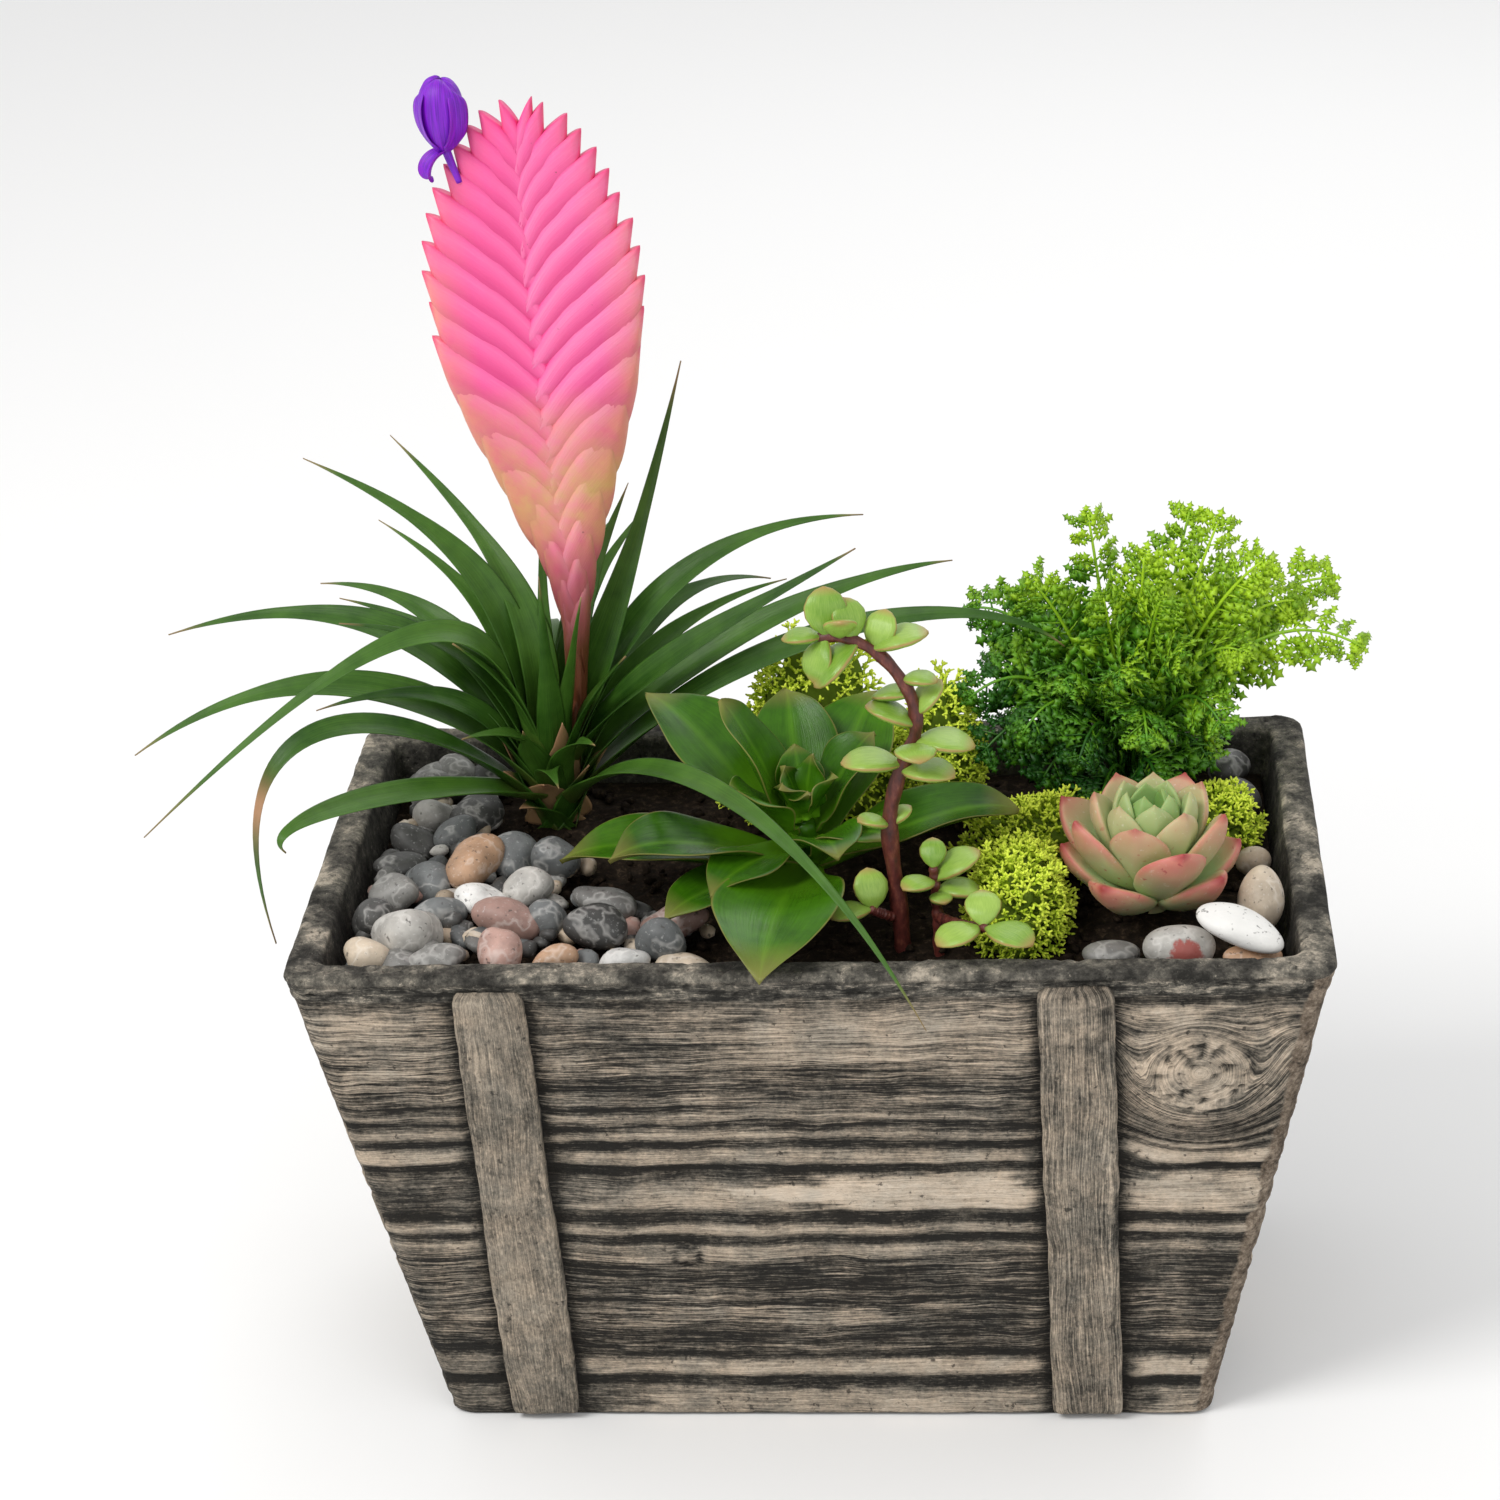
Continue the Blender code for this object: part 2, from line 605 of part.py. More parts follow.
def rosette_leaf(tier, azimuth, reach, rise, lift, half_width, steps=7):
    """A broad pointed leaf that leaves the stem flat, widens past its middle and ends in a point."""
    away = outward(azimuth)
    up = np.array([0.0, 0.0, 1.0])
    root = ROSETTE_FOOT + away * 3.5 * MM + up * tier * MM
    launch = ROSETTE_FOOT + away * reach * 0.3 * MM + up * (tier * 0.7 + rise * 0.2 + 3) * MM
    bow = ROSETTE_FOOT + away * reach * 0.75 * MM + up * (rise * 0.8 + lift) * MM
    tip = ROSETTE_FOOT + away * reach * MM + up * rise * MM
    route = bezier(root, launch, bow, tip, steps)
    along = np.linspace(0, 1, steps)
    widths = half_width * MM * np.interp(along, [0, 0.2, 0.45, 0.65, 0.85, 1], [0.22, 0.5, 0.95, 1.0, 0.6, 0])
    thick = (3.2 - 1.8 * along) * MM
    side = np.tile(np.cross(up, away), (steps, 1))
    return new_object("leaf", *leaf(route, side, widths, thick, 0.3))


def build_rosette(finish):
    line = ROSETTE_FOOT + np.array([[0, 0, -16], [0, 0, 0], [0, 0, 24]]) * MM
    stem = new_object("stem", *tube(line, np.array([4, 5, 3.5]) * MM, 8))
    leaves = [rosette_leaf(*row) for row in ROSETTE_LEAVES]
    return fused("green_rosette", [stem] + leaves, finish)


ECHEVERIA_LEAVES = 21
GOLDEN_TURN = 137.5


def echeveria_leaf(index):
    """Broad cupped leaves set by the golden angle, leaning out at the rim and upright at the heart."""
    age = index / (ECHEVERIA_LEAVES - 1)
    away = outward(index * GOLDEN_TURN + 150)
    lean = math.radians(37 + 49 * age**0.75)
    length = (36 - 14 * age) * MM
    up = np.array([0.0, 0.0, 1.0])
    root = ECHEVERIA_FOOT + up * (1 + 11 * age) * MM + away * (3.6 - 2.0 * age) * MM
    reach = away * math.cos(lean) + up * math.sin(lean)
    over = up * math.cos(lean) - away * math.sin(lean)
    tip = root + reach * length
    launch = root + reach * length * 0.35 - over * 3.5 * MM
    route = bezier(root, launch, root + reach * length * 0.8 - over * 2.5 * MM, tip, 5)
    half = (10.8 - 5.2 * age) * MM
    widths = half * np.array([0.44, 0.84, 1.0, 0.84, 0.0])
    thick = np.array([3.2, 3.8, 3.6, 2.6, 0.6]) * MM * (1 - 0.4 * age)
    side = np.tile(np.cross(up, away), (5, 1))
    return new_object("leaf", *leaf(route, side, widths, thick, 0.32))


def build_echeveria(finish):
    line = np.array([ECHEVERIA_FOOT - [0, 0, 17 * MM], ECHEVERIA_FOOT, ECHEVERIA_FOOT + [0, 0, 13 * MM]])
    stem = new_object("stem", *tube(line, np.array([4, 5, 2.5]) * MM, 8))
    return fused("blush_echeveria", [stem] + [echeveria_leaf(k) for k in range(ECHEVERIA_LEAVES)], finish)


# The jade bush: each stem is its route and its leaves: place along the stem, azimuth, lift, length
JADE_STEMS = {
    "jade_main_stem": {
        "route": [(26, -38, 136), (25, -38, 160), (23, -38, 185), (26, -38, 201), (31, -38, 214),
                  (30, -37, 225), (23, -36, 236), (14, -35, 241.5), (5, -34, 242)],
        "radius": (2.4, 1.3),
        "leaves": [(0.40, 185, 4, 17), (0.45, -78, 8, 14), (0.39, -20, 2, 16), (0.53, 180, 24, 15), (0.47, -4, -4, 17),
                   (0.56, 30, 46, 12), (0.68, -10, 0, 10), (0.62, 150, -12, 12), (0.80, 8, 14, 16), (0.78, 62, 60, 12),
                   (0.86, 120, 62, 12), (0.84, 200, -42, 17), (0.92, -84, 46, 11), (0.97, 100, 76, 14), (0.98, 183, -2, 11),
                   (0.97, 225, -66, 13), (0.26, 205, 20, 10), (0.25, 30, 30, 8)],
    },
    "jade_side_stem": {
        "route": [(36, -41, 136), (36, -41, 155), (35.5, -41, 166), (35, -41, 174)],
        "radius": (1.7, 1.2),
        "leaves": [(0.80, 218, 6, 11), (0.82, 20, 26, 15), (0.68, 5, -4, 13), (0.97, 92, 48, 9), (0.62, -70, 10, 8)],
    },
}
JADE_SHOOTS = {
    "jade_main_stem": [
        ([(25, -38, 156), (20, -42, 160), (17, -45, 163)], [(0.9, 195, -4, 12), (0.8, 110, 62, 12)]),
    ],
    "jade_side_stem": [
        ([(36, -41, 158), (42, -54, 163), (50, -66, 168)], [(0.95, 92, 30, 12), (0.9, 212, -6, 14), (0.98, -32, -4, 15)]),
    ],
}


def jade_leaf(foot, azimuth, lift, length):
    """A small thick oval leaf."""
    away = outward(azimuth)
    up = np.array([0.0, 0.0, 1.0])
    angle = math.radians(lift)
    reach = away * math.cos(angle) + up * math.sin(angle)
    steps = 5
    route = foot + reach * np.linspace(0.2 * MM, length * MM, steps)[:, None]
    widths = length * 0.38 * MM * np.array([0.14, 0.8, 1.0, 0.85, 0.0])
    thick = np.array([1.0, 2.5, 2.8, 2.2, 0.6]) * MM
    side = np.tile(np.cross(up, away), (steps, 1))
    return new_object("leaf", *leaf(route, side, widths, thick, 0.1, 1))


def jade_pieces(route, radii, leaves):
    line = spline(np.array(route) * MM, 2 * len(route) - 1)
    pieces = [new_object("stem", *tube(line, np.linspace(*radii, len(line)) * MM, 5))]
    for share, azimuth, lift, length in leaves:
        foot = line[int(round(share * (len(line) - 1)))]
        pieces.append(jade_leaf(foot, azimuth, lift, length))
    return pieces


def build_jade(finish):
    made = []
    for name, stem in JADE_STEMS.items():
        pieces = jade_pieces(stem["route"], stem["radius"], stem["leaves"])
        for route, leaves in JADE_SHOOTS[name]:
            pieces += jade_pieces(route, (1.4, 1.1), leaves)
        made.append(fused(name, pieces, finish))
    return made


# Fronds of the lace fern: tip x, y, height, how far the middle bows up, height on the crown
FERN_FRONDS = [
    (80, 54, 240, 4, 10),
    (64, 36, 226, 10, 9),
    (110, 64, 236, 4, 9),
    (130, 40, 230, 14, 8),
    (160, 40, 202, 30, 5),
    (152, 64, 214, 22, 6),
    (46, 60, 208, 20, 6),
    (44, 34, 190, 26, 2),
    (60, 18, 186, 26, 2),
    (118, 12, 190, 26, 2),
    (88, 14, 206, 20, 5),
    (96, 40, 232, 8, 11),
    (134, 66, 198, 26, 3),
    (76, 14, 178, 24, 1),
]
FERN_PAIRS = 5
FERN_LEAFLET = 15 * MM


def frond(tip_x, tip_y, tip_z, bow, tier):
    """A thin arched blade cut almost to the rib into paired leaflets, turned to face front and up."""
    tip = np.array([tip_x, tip_y, tip_z]) * MM
    away = unit((tip - FERN_FOOT) * [1, 1, 0])
    foot = FERN_FOOT + away * 2.5 * MM + [0, 0, tier * MM]
    count = 4 * FERN_PAIRS + 1
    up = np.array([0, 0, bow * MM])
    route = bezier(foot, foot * 0.7 + tip * 0.3 + up, foot * 0.35 + tip * 0.65 + up, tip, count)
    tangent = unit(np.gradient(route, axis=0))
    side = unit(np.cross(tangent, np.array([0.0, -0.75, 0.66])))
    above = unit(np.cross(side, tangent))
    pace = np.linalg.norm(route[1:] - route[:-1], axis=1).min()
    picked = [0] + list(range(2, count - 2)) + [count - 1]
    outline = {1: [], -1: []}
    for way in (1, -1):
        for k in picked[1:-1]:
            share = k / (count - 1)
            spread = FERN_LEAFLET * math.sin(math.pi * min(1.0, share * 0.72 + 0.26)) * (share > 0.2)
            reach = max((0.1, 0.7, 1.0, 0.55)[k % 4] * spread, 0.8 * MM)
            forward = min(0.5, 1.3 * pace / FERN_LEAFLET)
            sweep = tangent[k] * forward - above[k] * 0.2
            outline[way].append(route[k] + way * side[k] * reach + sweep * reach)
    points = np.array([route[0]] + outline[1] + [route[-1]] + outline[-1][::-1])
    lift = above[picked + picked[1:-1][::-1]] * 0.45 * MM
    n = len(points)
    faces = [(k, n + k, n + (k + 1) % n, (k + 1) % n) for k in range(n)]
    for base in (0, n):
        for k in range(n // 2):
            strip = [base + k, base + k + 1, base + (n - k - 1) % n, base + (n - k) % n]
            faces.append(tuple(dict.fromkeys(strip)))
    return new_object("frond", np.vstack([points + lift, points - lift]), faces)


def build_fern(finish):
    line = FERN_FOOT + np.array([[0, 0, -14], [0, 0, 2], [0, 0, 14]]) * MM
    crown = new_object("crown", *tube(line, np.array([5, 5, 3.5]) * MM, 8))
    return fused("lace_fern", [crown] + [frond(*row) for row in FERN_FRONDS], finish)


# Clumps of reindeer moss: name, x, y, half sizes
MOSS_CLUMPS = [
    ("moss_back", -2, 47, (26, 15, 42)),
    ("moss_middle", 36, 40, (13, 13, 36)),
    ("moss_front", 58.5, -31, (15, 21, 23)),
    ("moss_right", 117, 20, (13, 14, 15)),
    ("moss_strip", 70, 9, (29, 15, 17)),
]
SPRIG_LENGTH = 4.5 * MM


def moss_clump(name, x, y, half_sizes, finish, soil):
    """A cushion whose every facet is drawn out into a pointed sprig, cut flat where it lies on the soil."""
    sizes = np.array(half_sizes) * MM
    work = bmesh.new()
    bmesh.ops.create_icosphere(work, subdivisions=2, radius=1.0)
    for vert in work.verts:
        vert.co = [c * (size - SPRIG_LENGTH) for c, size in zip(vert.co, sizes)]
    crests = bmesh.ops.poke(work, faces=work.faces)["verts"]
    for vert in crests:
        vert.co += vert.co.normalized() * SPRIG_LENGTH
        vert.co.z += 0.8 * MM
    middle = SOIL_LEVEL + 0.35 * sizes[2]
    for vert in work.verts:
        vert.co += mathutils.Vector((x * MM, y * MM, middle))
    below = bmesh.ops.bisect_plane(
        work, geom=[*work.verts, *work.edges, *work.faces], plane_co=(0, 0, SOIL_LEVEL + 2 * MM),
        plane_no=(0, 0, 1), clear_inner=True)
    rim = [item for item in below["geom_cut"] if isinstance(item, bmesh.types.BMEdge)]
    bmesh.ops.holes_fill(work, edges=rim)
    mesh = bpy.data.meshes.new(name)
    work.to_mesh(mesh)
    work.free()
    tidy_mesh(mesh)
    clump = bpy.data.objects.new(name, mesh)
    bpy.context.scene.collection.objects.link(clump)
    mesh.materials.append(finish)
    return lower_onto(clump, [soil])


def main():
    clear_scene()
    cast = material("cast_stone", (0.30, 0.26, 0.22), 0.85)
    earth = material("soil", (0.04, 0.03, 0.022), 0.95)
    grey = material("pebble", (0.35, 0.35, 0.35), 0.55)
    pale = material("pale_stone", (0.78, 0.74, 0.68), 0.5)
    deep = material("quill_leaf", (0.05, 0.15, 0.05), 0.45)
    pink = material("quill_bract", (0.85, 0.16, 0.36), 0.5)
    violet = material("quill_petal", (0.13, 0.01, 0.55), 0.5)
    broad = material("rosette_leaf", (0.08, 0.22, 0.06), 0.4)
    blush = material("echeveria_leaf", (0.62, 0.42, 0.34), 0.5)
    jade = material("jade_leaf", (0.30, 0.45, 0.12), 0.4)
    lace = material("fern_frond", (0.14, 0.40, 0.04), 0.5)
    lime = material("reindeer_moss", (0.50, 0.62, 0.05), 0.8)

    build_planter(cast)
    stems = [
        (QUILL_FOOT[0], QUILL_FOOT[1], 10.9 * MM, 140 * MM),
        (ROSETTE_FOOT[0], ROSETTE_FOOT[1], 5.4 * MM, 138 * MM),
        (ECHEVERIA_FOOT[0], ECHEVERIA_FOOT[1], 5.5 * MM, 138 * MM),
        (FERN_FOOT[0], FERN_FOOT[1], 5.6 * MM, 138 * MM),
        (JADE_FEET[0][0], JADE_FEET[0][1], 3.0 * MM, 136 * MM),
        (JADE_FEET[1][0], JADE_FEET[1][1], 2.3 * MM, 136 * MM),
    ]
    soil = build_soil(earth, stems)
    build_pebble_bed(grey, soil)
    build_stones({"pale": pale, "grey": grey}, soil)
    build_quill_leaves(deep)
    build_quill_spike(pink)
    build_quill_flower(violet)
    build_rosette(broad)
    build_echeveria(blush)
    build_jade(jade)
    build_fern(lace)
    for row in MOSS_CLUMPS:
        moss_clump(*row, lime, soil)


main()
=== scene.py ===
import math
import random
from functools import partialmethod

import bpy
import numpy as np
from mathutils import Matrix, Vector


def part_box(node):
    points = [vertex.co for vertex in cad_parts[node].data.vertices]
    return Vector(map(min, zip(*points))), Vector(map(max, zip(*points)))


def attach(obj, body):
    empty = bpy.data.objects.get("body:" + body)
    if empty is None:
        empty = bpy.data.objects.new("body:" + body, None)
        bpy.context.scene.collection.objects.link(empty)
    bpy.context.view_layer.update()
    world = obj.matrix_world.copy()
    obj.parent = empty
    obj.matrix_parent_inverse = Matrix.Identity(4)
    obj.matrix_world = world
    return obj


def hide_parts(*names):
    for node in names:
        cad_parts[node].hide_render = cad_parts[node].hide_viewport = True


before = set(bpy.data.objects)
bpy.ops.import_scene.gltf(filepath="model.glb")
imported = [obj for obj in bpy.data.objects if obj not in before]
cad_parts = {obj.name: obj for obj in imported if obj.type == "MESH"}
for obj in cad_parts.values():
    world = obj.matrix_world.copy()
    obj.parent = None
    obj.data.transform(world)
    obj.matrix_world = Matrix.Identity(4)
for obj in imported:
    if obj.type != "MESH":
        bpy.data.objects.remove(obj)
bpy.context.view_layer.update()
mm = 0.001
goldenTurn = math.radians(137.508)
upward = np.array([0.0, 0.0, 1.0])


# Surfaces
def addPiece(name, parts, material, node=None):
    # parts are (points in metres, faces, values); they become one mesh, and every face is turned round
    # where the signed volume is negative, so that all point outwards
    points, faces, values = joined(parts)
    if sum(signedVolume(points, f) for f in faces) < 0:
        faces = [f[:, ::-1] for f in faces]
    corners = np.concatenate([f.ravel() for f in faces])
    counts = np.concatenate([np.full(len(f), f.shape[1]) for f in faces])
    mesh = bpy.data.meshes.new(name)
    mesh.vertices.add(len(points))
    mesh.vertices.foreach_set("co", points.astype(np.float32).ravel())
    mesh.loops.add(len(corners))
    mesh.loops.foreach_set("vertex_index", corners.astype(np.int32))
    mesh.polygons.add(len(counts))
    mesh.polygons.foreach_set("loop_start", (np.cumsum(counts) - counts).astype(np.int32))
    mesh.polygons.foreach_set("use_smooth", np.ones(len(counts), bool))
    mesh.update(calc_edges=True)
    for label, numbers in values.items():
        kind, field = "FLOAT", "value"
        if numbers.ndim == 2:  # a colour
            kind, field = "FLOAT_COLOR", "color"
            numbers = np.column_stack([numbers, np.ones(len(numbers))])
        layer = mesh.attributes.new(label, kind, "POINT")
        layer.data.foreach_set(field, numbers.astype(np.float32).ravel())
    mesh.materials.append(material)
    piece = bpy.data.objects.new(name, mesh)
    bpy.context.scene.collection.objects.link(piece)
    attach(piece, "root")
    if node:
        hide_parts(node)


def signedVolume(points, faces):
    # a sixth of the sum of a . (b x c) over the triangles that fan out from each face's first corner
    first, *others = (points[faces[:, k]] for k in range(faces.shape[1]))
    return sum(np.sum(first * np.cross(b, c)) for b, c in zip(others, others[1:])) / 6


def joined(parts):
    # several parts made one; a value that a part lacks is 0 there
    faces, start = {4: [], 3: []}, 0
    for points, own, _ in parts:
        for f in own:
            faces[f.shape[1]].append(f + start)
        start += len(points)
    points, values = np.concatenate([part[0] for part in parts]), {}
    for label in dict.fromkeys(label for part in parts for label in part[2]):
        values[label] = np.concatenate([part[2].get(label, np.zeros(len(part[0]))) for part in parts])
    return points, [np.concatenate(f) for f in faces.values() if f], values


def capped(numbers):
    # ring points in order, then the means of each body's first ring and of its last ring
    inOrder = numbers.reshape(-1, *numbers.shape[3:])
    return np.concatenate([inOrder, numbers[:, 0].mean(1), numbers[:, -1].mean(1)])


def tubePart(rings, **values):
    # rings is (k, u, v, 3): k bodies, each a tube of u rings of v points, closed by a point at both ends;
    # a value fits (k, u, v), or (k, u, v, 3) where it is a colour
    k, u, v = rings.shape[:3]
    grid = np.arange(k * u * v).reshape(k, u, v)
    turned = np.roll(grid, -1, axis=2)
    quads = np.stack([grid[:, :-1], turned[:, :-1], turned[:, 1:], grid[:, 1:]], -1).reshape(-1, 4)
    first = np.broadcast_to(k * u * v + np.arange(k)[:, None], (k, v))
    fans = [np.stack(corners, -1) for corners in (
        (turned[:, 0], grid[:, 0], first), (grid[:, -1], turned[:, -1], first + k))]
    values = {label: capped(np.broadcast_to(some, rings.shape if np.ndim(some) == 4 else rings.shape[:3]))
              for label, some in values.items()}
    return capped(rings * mm), [quads, np.concatenate(fans).reshape(-1, 3)], values


def leafPart(rings, seeds=0.5, **more):
    # along: 0 at the root to 1 at the tip; across: -1 to 1; face: 1 above, -1 below; seed: one a leaf
    turn = turnsOf(rings.shape[2])
    own = {"along": np.linspace(0, 1, rings.shape[1])[:, None], "across": np.cos(turn), "face": np.sin(turn)}
    return tubePart(rings, **{**own, "seed": np.reshape(seeds, (-1, 1, 1)), **more})


def stemPart(points, radii, steps, around, seed=0.5, at=None, **more):
    # a round stem on a smooth curve, its radii given at even places or at given shares of it
    share = np.linspace(0, 1, steps)
    radius = np.interp(share, np.linspace(0, 1, len(radii)) if at is None else at, radii)
    return leafPart(tubeRings(spline(points, steps)[None], radius[None], around), seed, **more)


def turnsOf(count):
    # so many even angles once round
    return np.linspace(0, 2 * math.pi, count, endpoint=False)


def unit(v):
    # v divided by its length
    return v / np.maximum(np.linalg.norm(v, axis=-1, keepdims=True), 1e-12)


def level(azimuth):
    # the level direction (cos, sin, 0) of an azimuth in degrees
    angle = np.radians(np.asarray(azimuth, float))
    return np.stack([np.cos(angle), np.sin(angle), np.zeros_like(angle)], -1)


def bezier(a, b, c, d, count):
    # (1-t)^3 a + 3(1-t)^2 t b + 3(1-t) t^2 c + t^3 d for each of k curves
    t = np.linspace(0.0, 1.0, count)[None, :, None]
    a, b, c, d = (np.asarray(p, float).reshape(-1, 1, 3) for p in (a, b, c, d))
    return (1 - t) ** 3 * a + 3 * (1 - t) ** 2 * t * b + 3 * (1 - t) * t**2 * c + t**3 * d


def spline(points, count):
    # a Catmull-Rom curve through the points
    points = np.asarray(points, float)
    knots = np.vstack([2 * points[0] - points[1], points, 2 * points[-1] - points[-2]])
    t = np.linspace(0.0, len(points) - 1 - 1e-9, count)
    k = t.astype(int)
    f = (t - k)[:, None]
    a, b, c, d = (knots[k + step] for step in range(4))
    return 0.5 * (2 * b + (c - a) * f + (2 * a - 5 * b + 4 * c - d) * f**2 + (3 * b - a - 3 * c + d) * f**3)


def leafRings(route, side, halfWidth, thickness, fold, around, foldPower=2.0, twist=None):
    # across a leaf: side * halfWidth * cos(turn), raised by fold * halfWidth * |cos|^power
    # and swelling by thickness / 2 * sin(turn), all rolled by the twist
    tangent = unit(np.gradient(route, axis=1))
    side = unit(side - np.sum(side * tangent, -1, keepdims=True) * tangent)
    above = unit(np.cross(tangent, side))
    if twist is not None:
        c, s = np.cos(twist)[..., None], np.sin(twist)[..., None]
        side, above = side * c + above * s, above * c - side * s
    cosTurn, sinTurn = (f(turnsOf(around))[:, None] for f in (np.cos, np.sin))
    width, thickness, fold = (np.asarray(n, float)[..., None, None] for n in (halfWidth, thickness, fold))
    lift = fold * width * np.abs(cosTurn) ** foldPower + 0.5 * thickness * sinTurn
    return route[:, :, None] + side[:, :, None] * width * cosTurn + above[:, :, None] * lift, above


def tubeRings(route, radius, around):
    # round sections of the given radius, square to the route
    tangent = unit(np.gradient(route, axis=1))
    across = unit(np.cross(tangent, np.where(np.abs(tangent[:, :1, 2:]) > 0.9, [1.0, 0, 0], upward)))
    over = np.cross(tangent, across)
    turn = turnsOf(around)[:, None]
    return route[:, :, None] + radius[..., None, None] * (
        np.cos(turn) * across[:, :, None] + np.sin(turn) * over[:, :, None])


noiseTable = np.random.default_rng(5).random((256, 256))


def noise(x, y, seed=0):
    # random values at whole numbers, blended smoothly between: 0 to 1
    x, y = np.broadcast_arrays(np.asarray(x, float), np.asarray(y, float))
    i, j = np.floor(x).astype(int), np.floor(y).astype(int)
    f, g = easeStep(x - i), easeStep(y - j)
    i, j = i + 37 * seed, j + 71 * seed
    a, b, c, d = (noiseTable[(i + u) & 255, (j + v) & 255] for v in (0, 1) for u in (0, 1))
    return blend(blend(a, b, f), blend(c, d, f), g)


def lump(x, y, wide, high, seed):
    # the same noise from -0.5 to 0.5, its lumps wide by high mm
    return noise(x / wide, y / high, seed) - 0.5


def pits(x, y, size, start, gain, seed):
    # 0 where the noise is below start, and above it the rest times gain, at most 1
    return np.clip((noise(x / size, y / size, seed) - start) * gain, 0, 1)


def blend(a, b, share):
    # a (1 - share) + b share
    return a * (1 - share) + b * share


def bell(*shares):
    # e to minus the sum of the squares: 1 in the middle, 0 far away
    return np.exp(-sum(share**2 for share in shares))


def easeStep(x):
    # 3x^2 - 2x^3: from 0 to 1, level at both ends
    x = np.clip(x, 0, 1)
    return x * x * (3 - 2 * x)


# Finishes
class Wire:
    # a node's output: arithmetic with it adds Math nodes, ramp() adds a colour ramp
    def __init__(self, tree, socket):
        self.tree, self.socket = tree, socket

    def step(self, operation, other=0.0, clamp=False):
        # one Math node, whose second input is a number or another wire
        return addNode(self.tree, "Math", 0, {0: self, 1: other}, operation=operation, use_clamp=clamp)

    __add__ = partialmethod(step, "ADD")
    __sub__ = partialmethod(step, "SUBTRACT")
    __mul__ = partialmethod(step, "MULTIPLY")
    __abs__ = partialmethod(step, "ABSOLUTE")
    most = partialmethod(step, "MAXIMUM")

    def centred(self, gain):
        # (value - 0.5) gain
        return (self - 0.5) * gain

    def ramp(self, *stops):
        # stops are (place, grey) or (place, rgb)
        wire = addNode(self.tree, "ValToRGB", "Color", {"Fac": self})
        elements = wire.socket.node.color_ramp.elements
        for _ in stops[2:]:
            elements.new(0.5)
        for element, (where, colour) in zip(elements, stops):
            element.position = where
            element.color = (*np.broadcast_to(colour, 3), 1)
        return wire


def addNode(tree, kind, output, inputs, **settings):
    # inputs holds a wire, number or colour for each socket, by its name or its number
    node = tree.nodes.new("ShaderNode" + kind)
    for label, setting in settings.items():
        setattr(node, label, setting)
    for label, value in inputs.items():
        socket = node.inputs[label]
        if isinstance(value, Wire):
            tree.links.new(value.socket, socket)
        else:
            socket.default_value = (*value, 1) if socket.type == "RGBA" else value
    return Wire(tree, node.outputs[output])


def mix(factor, a, b, blendType="MIX"):
    # colour a where the factor is 0, and b, or a times b with MULTIPLY, where it is 1
    tree = next(value.tree for value in (factor, a, b) if isinstance(value, Wire))
    return addNode(tree, "Mix", 2, {0: factor, 6: a, 7: b}, data_type="RGBA", blend_type=blendType)


class Finish:
    # a material with a Principled shader, and the patterns that the pieces share
    def __init__(self, name, roughness, stretch=(1, 1, 1), **sockets):
        self.material = bpy.data.materials.new(name)
        self.material.use_nodes = True
        self.tree = self.material.node_tree
        self.shader = self.tree.nodes["Principled BSDF"]
        for label, value in {"Roughness": roughness, **sockets}.items():
            self.shader.inputs[label.replace("_", " ")].default_value = value
        self.spot = addNode(self.tree, "TexCoord", "Object", {})
        self.spot = addNode(self.tree, "Mapping", 0, {"Vector": self.spot, "Scale": stretch})

    def value(self, label, output="Fac"):
        # one of the piece's point values
        return addNode(self.tree, "Attribute", output, {}, attribute_name=label)

    def grain(self, scale, detail=4.0, rough=0.6, at=None):
        # noise in Object coordinates, or at the given place
        inputs = {"Vector": at or self.spot, "Scale": scale, "Detail": detail, "Roughness": rough}
        return addNode(self.tree, "TexNoise", "Fac", inputs)

    def streaks(self, x, y, z=0.0, scale=1.0, detail=4.0, rough=0.6):
        # noise that follows the piece's own values
        return self.grain(scale, detail, rough, addNode(self.tree, "CombineXYZ", 0, {"X": x, "Y": y, "Z": z}))

    def paint(self, colour, height, strength, distance):
        # the colour of the surface, and a bump of so many metres from the height
        bump = addNode(self.tree, "Bump", 0, {"Height": height, "Strength": strength, "Distance": distance})
        for wire, label in ((colour, "Base Color"), (bump, "Normal")):
            self.tree.links.new(wire.socket, self.shader.inputs[label])
        return self.material


# The cast trough
trough = {
    "topHalf": (145.0, 80.0),
    "baseHalf": (113.0, 59.0),
    "height": 162.0,
    "corner": 7.0,
    "rimBand": 152.5,  # height at which the board grain ends
    "crack": 156.3,  # height of the fine crack round the rim
    "knot": (108.0, 127.0, 15.0, 14.0),  # middle x and z, half width, half height
    "smallKnot": (-38.0, 62.5, 4.4),  # middle x and z, half width
    "battenFeet": (-83.8, 76.5),
    "battenHeads": (-87.5, 74.0),
    "battenHeight": 157.0,
    "battenHalfWidth": 10.3,
    "battenProud": 2.7,
    "pale": (0.60, 0.50, 0.395),
    "dark": (0.028, 0.0262, 0.0235),
    "samples": (104, 54, 166, 54),  # along the back, left, front and right
}
farLine, farEdge = 300.0, 60.0  # values where a point is on no board, and far from the right edge
